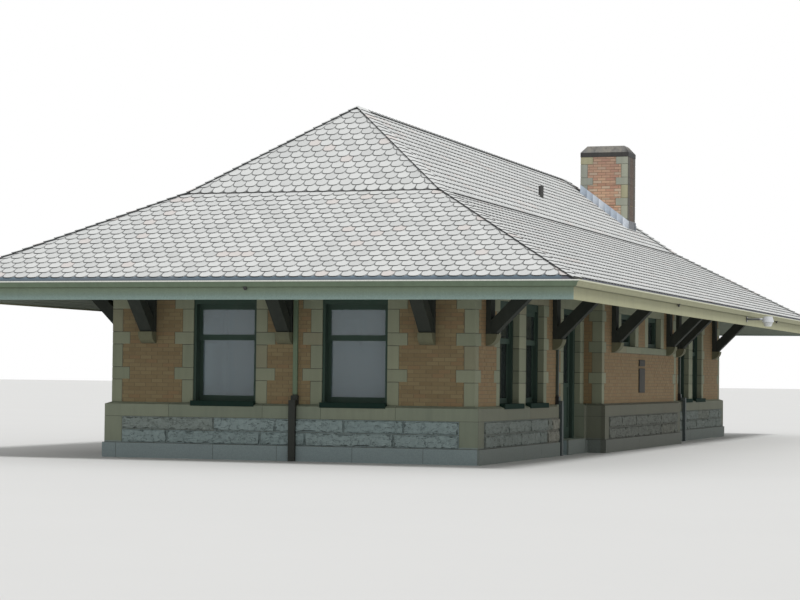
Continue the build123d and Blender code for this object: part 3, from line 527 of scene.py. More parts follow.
class Shell:
    """Faces gathered for one piece, with a tint and a mark of painted shade on each point."""

    def __init__(self) -> None:
        """Starts empty."""
        self.points: list[Vector] = []
        self.faces: list[Face] = []
        self.tints: list[float] = []
        self.shade_rims: list[float] = []

    def patch(self, points: list[Vector], faces: list[Face], tint: float,
              shade_rims: list[float] | None = None) -> None:
        """Adds faces between new points.

        Args:
            points: The new points.
            faces: Faces, as numbers of the new points.
            tint: Their own shade, from 0 to 1.
            shade_rims: How much painted shade each point takes, as at the foot of a step or the edge of a sheet.
        """
        base = len(self.points)
        self.shade_rims += shade_rims or [0.0] * len(points)
        self.points += points
        self.faces += [tuple(base + i for i in face) for face in faces]
        self.tints += [tint] * len(points)

    def chamfered(self, low: Vector, high: Vector, chamfer: float, tint: float) -> None:
        """Adds a box with chamfered edges.

        Args:
            low: Its lowest corner.
            high: Its highest corner.
            chamfer: Width of the chamfers.
            tint: Its own shade, from 0 to 1.
        """
        points, index, rings = [], {}, []
        for corner in product((0, 1), repeat=3):
            for axis in range(3):
                index[corner, axis] = len(points)
                points.append(Vector([(low, high)[s][i] + (0 if i == axis else chamfer * (1 - 2 * s))
                                      for i, s in enumerate(corner)]))
            rings.append([index[corner, axis] for axis in range(3)])
        for axis in range(3):
            a, b = [i for i in range(3) if i != axis]
            for s in (0, 1):
                around = [(*pair[:axis], s, *pair[axis:]) for pair in ((0, 0), (1, 0), (1, 1), (0, 1))]
                rings.append([index[corner, axis] for corner in around])
            for pair in product((0, 1), repeat=2):
                first, last = ((*pair[:axis], s, *pair[axis:]) for s in (0, 1))
                rings.append([index[first, a], index[last, a], index[last, b], index[first, b]])
        middle = (low + high) / 2
        faces = []
        for ring in rings:
            first, second, third = (points[i] for i in ring[:3])
            outward = (second - first).cross(third - second).dot(first - middle) > 0
            faces.append(tuple(ring if outward else ring[::-1]))
        self.patch(points, faces, tint)

    def build(self, name: str, material: Material, slot: str, body: str = "building",
              smooth: bool = False) -> Object:
        """Makes the piece.

        Args:
            name: Its name.
            material: Its finish.
            slot: The record's material slot; not used.
            body: The body that it rides on.
            smooth: Whether its faces are shaded smooth.

        Returns:
            The finished object.
        """
        mesh = make_mesh(name, self.points, self.faces)
        mark_mesh(mesh, "tint", self.tints)
        # Marks of painted shade, where the piece has any
        if any(self.shade_rims):
            mark_mesh(mesh, "shaded_rim", self.shade_rims)
        mesh.polygons.foreach_set("use_smooth", [smooth] * len(mesh.polygons))
        mesh.materials.append(material)
        return finish_piece(name, mesh, body)


def finish_piece(name: str, mesh: Mesh, body: str) -> Object:
    """Places a finished mesh as a piece on its body, and reports it.

    Args:
        name: Its name.
        mesh: Its mesh.
        body: The body that it rides on.

    Returns:
        The piece.
    """
    piece = place_object(name, mesh)
    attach(piece, body)
    LOG.info("%s: %d faces", name, len(mesh.polygons))
    return piece


def evaluate_tree(name: str, source: Mesh, tree: NodeTree, values: dict[str, object]) -> None:
    """Runs a Geometry Nodes tree on a mesh and turns the result into a plain piece.

    Args:
        name: The piece's name.
        source: The tree's input geometry.
        tree: The tree.
        values: Named inputs of the tree.
    """
    base = place_object(name + "_base", source)
    modifier = base.modifiers.new("layout", "NODES")
    modifier.node_group = tree
    for item in tree.interface.items_tree:
        if item.item_type == "SOCKET" and item.in_out == "INPUT" and item.name in values:
            modifier[item.identifier] = values[item.name]
    base.update_tag()
    depsgraph = bpy.context.evaluated_depsgraph_get()
    mesh = bpy.data.meshes.new_from_object(base.evaluated_get(depsgraph))
    mesh.name = name
    base.modifiers.remove(modifier)
    bpy.data.objects.remove(base)
    finish_piece(name, mesh, "building")


def new_tree(name: str, inputs: dict[str, str]) -> tuple[NodeTree, Graph, NodeOutputs]:
    """Starts a Geometry Nodes tree.

    Args:
        name: Its name.
        inputs: Input name to socket type, after the geometry.

    Returns:
        The tree, its graph and the outputs of its input node.
    """
    tree = bpy.data.node_groups.new(name, "GeometryNodeTree")
    tree.interface.new_socket("Geometry", in_out="INPUT", socket_type="NodeSocketGeometry")
    for socket, kind in inputs.items():
        tree.interface.new_socket(socket, in_out="INPUT", socket_type=kind)
    tree.interface.new_socket("Geometry", in_out="OUTPUT", socket_type="NodeSocketGeometry")
    g = Graph(tree)
    return tree, g, g.add("NodeGroupInput").outputs


def end_tree(g: Graph, geometry: NodeSocket, material: NodeSocket) -> None:
    """Ends a Geometry Nodes tree in Realize Instances and Set Material.

    Args:
        g: The tree's graph.
        geometry: What the tree has laid.
        material: The finish that it takes.
    """
    real = g.add("GeometryNodeRealizeInstances", {0: geometry}).outputs[0]
    dressed = g.add("GeometryNodeSetMaterial", {"Geometry": real, "Material": material}).outputs[0]
    g.add("NodeGroupOutput", {0: dressed})


def brick_tree() -> NodeTree:
    """Tree that lays a brick of its own size on every point.

    Returns:
        The tree.
    """
    tree, g, given = new_tree("lay_bricks", {"Material": "NodeSocketMaterial"})
    brick = g.add("GeometryNodeMeshCube").outputs["Mesh"]
    size = g.add("GeometryNodeInputNamedAttribute", {"Name": "size"}, data_type="FLOAT_VECTOR").outputs[0]
    laid = g.add("GeometryNodeInstanceOnPoints", {"Points": given["Geometry"], "Instance": brick, "Scale": size})
    end_tree(g, laid.outputs[0], given["Material"])
    return tree


COURSE_REACH = 0.42
COURSE_TILT = (0.004, 0.0, 0.02)


def course_tree() -> NodeTree:
    """Tree that lays rows of shingles or boards on one slope and trims them to its two hips.

    Returns:
        The tree.
    """
    kinds = {name: "NodeSocketFloat" for name in ("Pitch", "Exposure", "Half width", "Inset", "Jitter")}
    kinds |= {name: "NodeSocketInt" for name in ("Columns", "Rows", "Seed")}
    tree, g, given = new_tree("lay_courses", {
        **kinds, "Place": "NodeSocketVector", "Turn": "NodeSocketRotation", "Shingle": "NodeSocketObject",
        "Material": "NodeSocketMaterial"})
    wide = g.math("MULTIPLY", g.math("SUBTRACT", given["Columns"], 1.0), given["Pitch"])
    tall = g.math("MULTIPLY", g.math("SUBTRACT", given["Rows"], 1.0), given["Exposure"])
    grid = g.add("GeometryNodeMeshGrid", {"Size X": wide, "Size Y": tall, "Vertices X": given["Columns"],
                                          "Vertices Y": given["Rows"]}).outputs["Mesh"]
    split = g.parts()
    up = g.math("ADD", split[1], g.math("MULTIPLY", tall, 0.5))
    row = g.math("ROUND", g.math("DIVIDE", up, given["Exposure"]))
    shift = g.math("MULTIPLY", g.math("MULTIPLY", g.math("FLOORED_MODULO", row, 2.0), 0.5), given["Pitch"])
    point = g.add("ShaderNodeCombineXYZ", {0: g.math("ADD", split[0], shift), 1: up}).outputs[0]
    rows = g.add("GeometryNodeSetPosition", {"Geometry": grid, "Position": point}).outputs[0]
    split = g.parts()
    limit = g.math("SUBTRACT", given["Half width"], g.math("MULTIPLY", split[1], given["Inset"]))
    reach = g.math("ADD", limit, g.math("MULTIPLY", given["Pitch"], COURSE_REACH))
    beyond = g.math("GREATER_THAN", g.math("ABSOLUTE", split[0]), reach)
    kept = g.add("GeometryNodeDeleteGeometry", {"Geometry": rows, "Selection": beyond}).outputs[0]
    shingle = g.add("GeometryNodeObjectInfo", {"Object": given["Shingle"]}).outputs["Geometry"]
    tilt = g.add("FunctionNodeRandomValue", {"Min": [-turn for turn in COURSE_TILT], "Max": COURSE_TILT,
                                             "Seed": given["Seed"]}, data_type="FLOAT_VECTOR").outputs[0]
    tilt = g.add("ShaderNodeVectorMath", {0: tilt, "Scale": given["Jitter"]}, operation="SCALE").outputs[0]
    laid = g.add("GeometryNodeInstanceOnPoints", {"Points": kept, "Instance": shingle, "Rotation": tilt}).outputs[0]
    tint = g.add("FunctionNodeRandomValue", {"Seed": given["Seed"]}, data_type="FLOAT")
    marked = g.add("GeometryNodeStoreNamedAttribute", {"Geometry": laid, "Name": "tint", "Value": tint.outputs[1]},
                   data_type="FLOAT", domain="INSTANCE").outputs[0]
    real = g.add("GeometryNodeRealizeInstances", {0: marked}).outputs[0]
    split = g.parts()
    limit = g.math("SUBTRACT", given["Half width"], g.math("MULTIPLY", split[1], given["Inset"]))
    across = g.math("MAXIMUM", g.math("MINIMUM", split[0], limit), g.math("MULTIPLY", limit, -1.0))
    head = g.math("MINIMUM", split[1], g.math("MULTIPLY", given["Rows"], given["Exposure"]))
    trimmed = g.add("ShaderNodeCombineXYZ", {0: across, 1: head, 2: split[2]}).outputs[0]
    cut = g.add("GeometryNodeSetPosition", {"Geometry": real, "Position": trimmed}).outputs[0]
    placed = g.add("GeometryNodeTransform", {"Geometry": cut, "Translation": given["Place"],
                                             "Rotation": given["Turn"]}).outputs[0]
    end_tree(g, placed, given["Material"])
    return tree


def lay_courses(name: str, tree: NodeTree, unit: Object, material: Material,
                slope: tuple[Vector, float, float], values: dict[str, float]) -> None:
    """Lays rows of one unit up a slope and makes them a piece.

    Args:
        name: The piece's name.
        tree: The tree that lays courses.
        unit: The shingle or board that is laid.
        material: Its finish.
        slope: The slope's foot, heading and pitch.
        values: The rest of the tree's named inputs.
    """
    foot, heading, pitch = slope
    turn = (Matrix.Rotation(heading, 3, "Z") @ Matrix.Rotation(pitch, 3, "X")).to_euler()
    evaluate_tree(name, bpy.data.meshes.new(name + "_base"), tree, {
        **values, "Place": foot[:], "Turn": turn[:], "Shingle": unit, "Material": material})


@dataclass
class Dressings:
    """Stone quoins, jambs, lintels and sills: each stone a block of its own, proud of the wall's face."""

    proud: float = 0.006
    joint: float = 0.004
    chamfer: float = 0.005
    depth: float = 0.06
    lip: float = 0.003
    quoins_out: Pair = (0.19, 0.33)
    bay_quoins: Pair = (0.2, 0.27)
    jambs_out: Pair = (0.205, 0.35)
    bay_jamb: float = 0.3
    jamb_foot: float = 0.01
    lintel_out: float = 0.35
    band_cuts: tuple[float, ...] = (8.25, 9.6, 11.05, 12.5, 13.85)
    seed: int = 11
    rects: dict[Side, list[tuple[float, float, float, float]]] = field(default_factory=dict)

    def note(self, side: Side, along: Pair, up: Pair) -> None:
        """Keeps a rectangle of the wall free of bricks."""
        self.rects.setdefault(side, []).append((min(along), max(along), up[0], up[1]))

    def stone(self, shell: Shell, side: Side, along: Pair, up: Pair, rng: Random, free: str = "") -> None:
        """Adds one stone on a wall's face and keeps bricks off it.

        Args:
            shell: The piece being gathered.
            side: The wall's face.
            along: Its two edges along the wall.
            up: Its foot and top.
            rng: Source of its shade.
            free: Its edges that line an opening: n near, f far, b bottom, t top.
        """
        self.note(side, along, up)
        grow = [self.lip if edge in free else -self.joint for edge in "nfbt"]
        reveal = END_REVEAL if side in (Side.FRONT, Side.BACK) else REVEAL
        low, high = side.block((along[0] - grow[0], along[1] + grow[1]), (up[0] - grow[2], up[1] + grow[3]),
                               (SKIN - reveal if free else -self.depth, self.proud))
        shell.chamfered(low, high, self.chamfer, rng.random())

    def openings(self) -> None:
        """Keeps bricks off the openings."""
        for side, opening in product((Side.FRONT, Side.BACK), END_OPENINGS):
            self.note(side, opening, (WALL_FOOT, HEAD))
        for side, opening in product((Side.STREET, Side.TRACK), (*NEAR_PAIR, *FAR_PAIR, DOOR)):
            self.note(side, opening, (WALL_FOOT, HEAD))
        for side, opening in product((Side.STREET_BAY, Side.TRACK_BAY), BAY_OPENINGS):
            self.note(side, opening, (BAY_SILL[1], HEAD))

    def quoins(self, shell: Shell, rng: Random) -> None:
        """Adds the stones of the building's corners and the bays' corners.

        Args:
            shell: The piece being gathered.
            rng: Source of the shades.
        """
        for foot, top, wide in stone_rows(5):
            size, depth = self.quoins_out[wide], self.bay_quoins[wide]
            top = min(top, WALL_TOP)
            if foot >= WALL_TOP:
                continue
            for across, back in product((False, True), repeat=2):
                low = Vector((HALF - size + self.joint, -self.proud, foot + self.joint))
                high = Vector((HALF + self.proud, size - self.joint, top - self.joint))
                shell.chamfered(*mirrored(low, high, across, back), self.chamfer, rng.random())
                edges = (-HALF, size - HALF) if across else (HALF - size, HALF)
                self.note(Side.BACK if back else Side.FRONT, edges, (foot, top))
                self.note(Side.TRACK if across else Side.STREET, (LENGTH - size, LENGTH) if back else (0.0, size),
                          (foot, top))
                if top > BAY_WALL_TOP:
                    continue
                low = Vector((BAY_FACE - depth + self.joint, BAY_START - self.proud, foot + self.joint))
                high = Vector((BAY_FACE + self.proud, BAY_START + size - self.joint, top - self.joint))
                shell.chamfered(*mirrored(low, high, across, back), self.chamfer, rng.random())
                self.note(Side.TRACK_BAY if across else Side.STREET_BAY,
                          (BAY_END - size, BAY_END) if back else (BAY_START, BAY_START + size), (foot, top))
                edges = (-BAY_FACE, depth - BAY_FACE) if across else (BAY_FACE - depth, BAY_FACE)
                self.note(Side.FAR_RETURN if back else Side.NEAR_RETURN, edges, (foot, top))

    def jambs(self, shell: Shell, rng: Random) -> None:
        """Adds the stones beside the openings.

        Args:
            shell: The piece being gathered.
            rng: Source of the shades.
        """
        for foot, top, wide in stone_rows(3):
            size = self.jambs_out[wide]
            up = (foot, min(top, HEAD - self.joint))
            for left, right in END_OPENINGS:
                for side in (Side.FRONT, Side.BACK):
                    self.stone(shell, side, (left - size, left), up, rng, "f")
                    self.stone(shell, side, (right, right + size), up, rng, "n")
            for side in (Side.STREET, Side.TRACK):
                self.stone(shell, side, (DOOR[0] - size, DOOR[0]), up, rng, "f")
                self.stone(shell, side, (DOOR[1], BAY_START), up, rng, "n")
                for near, far in (NEAR_PAIR, FAR_PAIR):
                    for along, free in (((near[0] - size, near[0]), "f"), ((near[1], far[0]), "nf"),
                                        ((far[1], far[1] + size), "n")):
                        self.stone(shell, side, along, up, rng, free)
        up = (BAY_SILL[1] + self.jamb_foot, HEAD - self.joint)
        for side, (near, far) in product((Side.STREET_BAY, Side.TRACK_BAY), BAY_OPENINGS):
            self.stone(shell, side, (near - self.bay_jamb, near), up, rng, "f")
            self.stone(shell, side, (far, far + self.bay_jamb), up, rng, "n")

    def lintels(self, shell: Shell, rng: Random) -> None:
        """Adds the lintels, and the sill bands of the bays.

        Args:
            shell: The piece being gathered.
            rng: Source of the shades.
        """
        up, out = (HEAD, LINTEL_TOP), self.lintel_out
        for (left, right), side in product(END_OPENINGS, (Side.FRONT, Side.BACK)):
            self.stone(shell, side, (left - out, right + out), up, rng, "b")
        for side in (Side.STREET, Side.TRACK):
            for near, far in (NEAR_PAIR, FAR_PAIR):
                middle = (near[1] + far[0]) / 2
                self.stone(shell, side, (near[0] - out, middle), up, rng, "b")
                self.stone(shell, side, (middle, far[1] + out), up, rng, "b")
            self.stone(shell, side, (DOOR[0] - out, BAY_START), up, rng, "b")
        for side in (Side.STREET_BAY, Side.TRACK_BAY):
            for near, far in BAY_OPENINGS:
                self.stone(shell, side, (near - self.bay_jamb, far + self.bay_jamb), up, rng, "b")
            for near, far in pairwise(self.band_cuts):
                self.stone(shell, side, (near, far), BAY_SILL, rng, "t")

    def build(self, material: Material) -> None:
        """Makes the dressings as one piece.

        Args:
            material: The stones' finish.
        """
        rng = Random(self.seed)
        shell = Shell()
        self.openings()
        self.quoins(shell, rng)
        self.jambs(shell, rng)
        self.lintels(shell, rng)
        shell.build("dressed_stones", material, "limestone")


@dataclass
class StoneBase:
    """Stone base: plinth, two rock-faced courses and a water table, with smooth stones at the corners."""

    plinth: Triple = (0.0, 0.26, 0.12)
    low_rock: Triple = (0.26, 0.49, 0.09)
    high_rock: Triple = (0.49, 0.715, 0.09)
    table: Triple = (0.715, 0.925, 0.09)
    proud: float = 0.004
    joint: float = 0.0035
    depth: float = 0.05
    corner: float = 0.33
    margin: float = 0.012
    jag: float = 0.021
    ledge: float = 0.005
    jag_paces: Pair = (23.0, 16.0)
    jag_shifts: Pair = (9.0, 5.0)
    jag_gain: Pair = (2.6, 0.15)
    burst: float = 0.032
    lumps: Pair = (6.0, 10.0)
    lump_layers: tuple[float, float, int] = (0.9, 2.1, 3)
    facets: Pair = (7.0, 12.0)
    steps: Triple = (0.75, 0.45, 0.3)
    # How much painted shade the margin's inner line takes, plain and where the burst face draws in
    edge_shade: Pair = (0.1, 0.8)
    grid: float = 0.034
    pier: float = 0.3
    spall: Pair = (0.55, 0.3)
    lip: float = 0.003
    rock_lengths: Pair = (1.05, 1.5)
    smooth_lengths: Pair = (1.2, 1.7)
    least: float = 0.35
    short: float = 0.25
    clear: float = 0.1
    chamfer: float = 0.004
    seed: int = 23
    front_joints: dict[str, tuple[float, ...]] = field(default_factory=lambda: {
        "plinth": (-3.16, -1.33, -0.16, 1.2, 2.45), "low_rock": (-2.2, -0.47, 0.35, 1.93),
        "high_rock": (-1.33, -0.2, 1.04, 2.1), "table": (-2.18, -0.44, 0.62, 1.95)})

    def runs(self) -> list[tuple[Side, float, float, int, int]]:
        """Every straight run of the base.

        Returns:
            Face, two ends on the wall, and how each end is mitred, for each run.
        """
        runs = [(Side.FRONT, -HALF, HALF, 1, 1), (Side.BACK, -HALF, HALF, 1, 1)]
        for side, bay in ((Side.STREET, Side.STREET_BAY), (Side.TRACK, Side.TRACK_BAY)):
            runs += [(side, 0.0, RECESS, 1, 0), (side, DOOR[1], BAY_START, 0, -1),
                     (side, BAY_END, LENGTH, -1, 1), (bay, BAY_START, BAY_END, 1, 1)]
        for side in (Side.NEAR_RETURN, Side.FAR_RETURN):
            runs += [(side, HALF, BAY_FACE, -1, 1), (side, -BAY_FACE, -HALF, 1, -1)]
        return runs

    def prism(self, shell: Shell, side: Side, ends: Pair, mitres: tuple[int, int], section: list[Pair],
              tint: float) -> None:
        """Adds a stone of one section along a face.

        Args:
            shell: The piece being gathered.
            side: The face.
            ends: Its two ends on the wall.
            mitres: For each end, 1 at an outer corner, -1 at an inner one and 0 for a square end.
            section: Its section as pairs of reach and height, from its foot round its face to its back.
            tint: Its own shade.
        """
        points = []
        for end, mitre, way in ((ends[0], mitres[0], -1), (ends[1], mitres[1], 1)):
            points += [side.point(end + way * mitre * reach, z, reach) for reach, z in section]
        count = len(section)
        faces = [(i, (i + 1) % count, count + (i + 1) % count, count + i) for i in range(count)]
        faces += [tuple(range(count))[::-1], tuple(range(count, 2 * count))]
        shell.patch(points, [face if side.turned else face[::-1] for face in faces], tint)

    def rock(self, shell: Shell, side: Side, along: Pair, course: Triple, rng: Random) -> None:
        """Adds one rock-faced stone with a drafted margin.

        Args:
            shell: The piece being gathered.
            side: The face.
            along: Its two ends.
            course: Foot, top and reach of its course.
            rng: Source of its shape.
        """
        foot, top, reach = course[0] + self.joint, course[1] - self.joint, course[2] + self.proud
        us, zs = self.lines(along[0] + self.joint, along[1] - self.joint), self.lines(foot, top)
        shift = rng.uniform(0, 50)
        points, shade_rims = [], []
        for j, z0 in enumerate(zs):
            for i, u0 in enumerate(us):
                column, row = min(i, len(us) - 1 - i), min(j, len(zs) - 1 - j)
                u, z = u0, z0
                if column in (1, 2):
                    far = i > 2
                    u += self.jagged(z0 * self.jag_paces[0] + shift + self.jag_shifts[0] * far) * (-1 if far else 1)
                if row in (1, 2):
                    far = j > 2
                    z += self.jagged(u0 * self.jag_paces[1] + shift + self.jag_shifts[1] * far) * (-1 if far else 1)
                place = Vector((u * self.lumps[0] + shift, z * self.lumps[1], shift))
                lump = noise.fractal(place, *self.lump_layers)
                facet = noise.cell(Vector((u * self.facets[0] + shift, z * self.facets[1], shift)))
                least, rough, flat = self.steps
                step = 0.0 if min(column, row) < 2 else least + rough * lump + flat * facet
                points.append(side.point(u, z, reach + self.burst * max(step, 0.0)))
                drawn = max(abs(u - u0), abs(z - z0)) / self.jag
                # Painted shade along the margin's inner line, darker where the ragged edge draws in
                shade_rims.append(self.edge_shade[0] + self.edge_shade[1] * drawn if min(column, row) == 1 else 0.0)
        width = len(us)
        faces = [(r * width + c, r * width + c + 1, (r + 1) * width + c + 1, (r + 1) * width + c)
                 for r in range(len(zs) - 1) for c in range(width - 1)]
        ring = [*range(width), *(width * r + width - 1 for r in range(1, len(zs))),
                *(width * (len(zs) - 1) + c for c in range(width - 2, -1, -1)),
                *(width * r for r in range(len(zs) - 2, 0, -1))]
        base = len(points)
        axis, plane, way = side.value
        for i in ring:
            back = points[i].copy()
            back["xy".index(axis)] = plane - way * self.depth
            points.append(back)
            shade_rims.append(0.0)
        faces += [(ring[i], base + i, base + (i + 1) % len(ring), ring[(i + 1) % len(ring)])
                  for i in range(len(ring))]
        shell.patch(points, [face[::-1] if side.turned else face for face in faces], rng.random(), shade_rims)

    def lines(self, start: float, end: float) -> list[float]:
        """Grid lines across a rock-faced stone: both margins, the ledges inside them and the face between.

        Args:
            start: One end of the stone.
            end: Its other end.

        Returns:
            Places of the lines.
        """
        inset = self.margin + self.ledge
        inner = (start + inset + self.jag, end - inset - self.jag)
        count = max(1, round((inner[1] - inner[0]) / self.grid))
        middle = [inner[0] + (inner[1] - inner[0]) * i / count for i in range(count + 1)]
        return [start, start + self.margin, start + inset, *middle, end - inset, end - self.margin, end]

    def jagged(self, place: float) -> float:
        """How far the burst face's ragged edge draws in at a place along it."""
        ragged = noise.noise(Vector((place, 0.3, 0.7))) * self.jag_gain[0] - self.jag_gain[1]
        return self.jag * min(1.0, max(0.0, ragged))

    def cuts(self, side: Side, name: str, ends: Pair, rng: Random) -> list[float]:
        """Where the stones of one course meet.

        Args:
            side: The face.
            name: The course.
            ends: Its two ends.
            rng: Source of the joints.

        Returns:
            Places of the joints, the two ends among them.
        """
        if side in (Side.FRONT, Side.BACK):
            inner = (u for u in self.front_joints[name] if ends[0] + self.clear < u < ends[1] - self.clear)
            return [ends[0], *inner, ends[1]]
        span = self.rock_lengths if "rock" in name else self.smooth_lengths
        cuts = [ends[0]]
        while ends[1] - cuts[-1] > span[1]:
            cuts.append(cuts[-1] + rng.uniform(*span))
            if ends[1] - cuts[-1] < self.least:
                cuts.pop()
                break
        return [*cuts, ends[1]]

    def section(self, name: str, free: bool) -> list[Pair]:
        """Section of one course.

        Args:
            name: The course.
            free: Whether the stone lines an opening.

        Returns:
            Pairs of reach and height, from its foot round its face to its back.
        """
        foot, top, reach = getattr(self, name)
        face, back = reach + self.proud, SKIN - REVEAL if free else -self.depth
        if name == "plinth":
            return [(back, foot), (face, foot), (face, top - self.joint), (back, top - self.joint)]
        low = foot + self.joint
        if name == "table":
            return [(back, low), (face, low), (face, top + SKIN / 2), (self.proud, WALL_FOOT + SKIN),
                    (back, WALL_FOOT + SKIN)]
        high = self.high_rock[1] - self.joint
        return [(back, low), (face, low), (face, high), (back, high)]

    def run(self, plain: Shell, rocky: Shell, worn: Shell, run: tuple[Side, float, float, int, int],
            rng: Random) -> None:
        """Adds the stones of one straight run.

        Args:
            plain: Shell of the smooth stones.
            rocky: Shell of the rock-faced stones.
            worn: Shell of the spalled stones beside the street door.
            run: Face, two ends and the mitre of each end.
            rng: Source of the joints and shades.
        """
        side, start, end, first, last = run
        start, end = start - (0 if first else self.lip), end + (0 if last else self.lip)
        free = first == 0 or last == 0
        for name in ("plinth", "table"):
            cuts = self.cuts(side, name, (start, end), rng)
            for i, (near, far) in enumerate(pairwise(cuts)):
                mitres = (first if i == 0 else 0, last if i == len(cuts) - 2 else 0)
                ends = (near + (self.joint if i else 0), far - (self.joint if i < len(cuts) - 2 else 0))
                lines = free and (i == 0 and first == 0 or i == len(cuts) - 2 and last == 0)
                self.prism(plain, side, ends, mitres, self.section(name, lines), rng.random())
        reach = self.low_rock[2]
        inset = {1: self.corner - reach, -1: reach, 0: self.pier}
        a, b = start + inset[first], end - inset[last]
        if b - a < self.short:
            self.prism(plain, side, (start, end), (first, last), self.section("low_rock", free), rng.random())
            return
        if first != -1:
            self.prism(plain, side, (start, a - self.joint), (first, 0), self.section("low_rock", first == 0),
                       rng.random())
        if last == 0 and side is Side.STREET:
            b -= self.spall[0]
            self.rock(worn, side, (b, end), self.low_rock, rng)
            self.rock(worn, side, (b + self.spall[1], end), self.high_rock, rng)
            self.rock(rocky, side, (b, b + self.spall[1]), self.high_rock, rng)
        elif last != -1:
            self.prism(plain, side, (b + self.joint, end), (0, last), self.section("low_rock", last == 0),
                       rng.random())
        for name in ("low_rock", "high_rock"):
            for near, far in pairwise(self.cuts(side, name, (a, b), rng)):
                self.rock(rocky, side, (near, far), getattr(self, name), rng)

    def build(self, smooth: Material, rough: Material, spalled: Material) -> None:
        """Makes the smooth, the rock-faced and the spalled stones, each kind as one piece.

        Args:
            smooth: Finish of the smooth stones.
            rough: Finish of the rock-faced stones.
            spalled: Finish of the spalled stones.
        """
        rng = Random(self.seed)
        plain, rocky, worn = Shell(), Shell(), Shell()
        for run in self.runs():
            self.run(plain, rocky, worn, run, rng)
        for side in (Side.STREET, Side.TRACK):
            feet = [course[0] for course in (self.plinth, self.low_rock, self.high_rock, self.table)]
            for foot, top in pairwise((*feet, WALL_FOOT)):
                low, high = side.block((RECESS + 2 * SKIN, DOOR[0] + self.lip),
                                       (foot + (self.joint if foot else 0), top - self.joint),
                                       (SKIN - REVEAL, self.proud))
                plain.chamfered(low, high, self.chamfer, rng.random())
        plain.build("base_stones", smooth, "limestone")
        rocky.build("rock_faced_stones", rough, "limestone")
        worn.build("spalled_stones", spalled, "limestone")


@dataclass
class Brickwork:
    """Brick courses between the stone dressings, each brick standing a little out of its mortar."""

    dressings: Dressings
    course: float = (TALL_ROW + LOW_ROW) / COURSES_PER_PAIR
    brick: float = 0.213
    joint: float = 0.009
    proud: float = 0.004
    unevenness: float = 0.0015
    depth: float = 0.02
    least: float = 0.02
    least_split: float = 0.012
    seed: int = 5

    def free(self, side: Side, wall: Pair, z: float) -> list[Pair]:
        """Stretches of a wall at one height that hold bricks.

        Args:
            side: The wall's face.
            wall: Its two edges.
            z: The height.

        Returns:
            The two edges of each stretch.
        """
        spans = [wall]
        for left, right, foot, top in self.dressings.rects.get(side, []):
            if foot < z < top:
                cut = []
                for a, b in spans:
                    if right <= a or left >= b:
                        cut.append((a, b))
                        continue
                    if left > a:
                        cut.append((a, left))
                    if right < b:
                        cut.append((right, b))
                spans = cut
        return spans

    def lay(self, side: Side, wall: Pair, up: Pair, rng: Random) -> list[tuple[Vector, Vector, float]]:
        """Bricks of one wall.

        Args:
            side: The wall's face.
            wall: Its two edges.
            up: Its foot and top.
            rng: Source of the shades.

        Returns:
            Middle, size and tint of each brick.
        """
        bricks = []
        for number in range(math.ceil((up[1] - up[0]) / self.course)):
            foot = up[0] + number * self.course
            top = min(foot + self.course, up[1])
            marks = {foot, top}
            for left, right, low, high in self.dressings.rects.get(side, []):
                if right > wall[0] and left < wall[1]:
                    marks |= {z for z in (low, high) if foot + self.least_split < z < top - self.least_split}
            for low, high in pairwise(sorted(marks)):
                for a, b in self.free(side, wall, (low + high) / 2):
                    edge = wall[0] + (number % 2) * self.brick / 2 - self.brick
                    while edge < b:
                        start, end = max(a, edge) + self.joint / 2, min(b, edge + self.brick) - self.joint / 2
                        edge += self.brick
                        if min(end - start, high - low) < self.least:
                            continue
                        lows, highs = side.block((start, end), (low + self.joint / 2, high - self.joint / 2),
                                                 (-self.depth, self.proud + rng.uniform(-self.unevenness,
                                                                                        self.unevenness)))
                        bricks.append(((lows + highs) / 2, highs - lows, rng.random()))
        return bricks

    def build(self, name: str, walls: list[tuple[Side, Pair, Pair]], material: Material,
              tree: NodeTree) -> None:
        """Makes the bricks of a few walls as one piece.

        Args:
            name: The piece's name.
            walls: Face, two edges, and foot and top of each wall.
            material: The bricks' finish.
            tree: The tree that lays bricks.
        """
        rng = Random(self.seed + len(name))
        bricks = [brick for side, wall, up in walls for brick in self.lay(side, wall, up, rng)]
        source = make_mesh(name, [middle for middle, _, _ in bricks], [])
        sizes = source.attributes.new("size", "FLOAT_VECTOR", "POINT")
        sizes.data.foreach_set("vector", [v for _, size, _ in bricks for v in size])
        mark_mesh(source, "tint", [tint for _, _, tint in bricks])
        evaluate_tree(name, source, tree, {"Material": material})


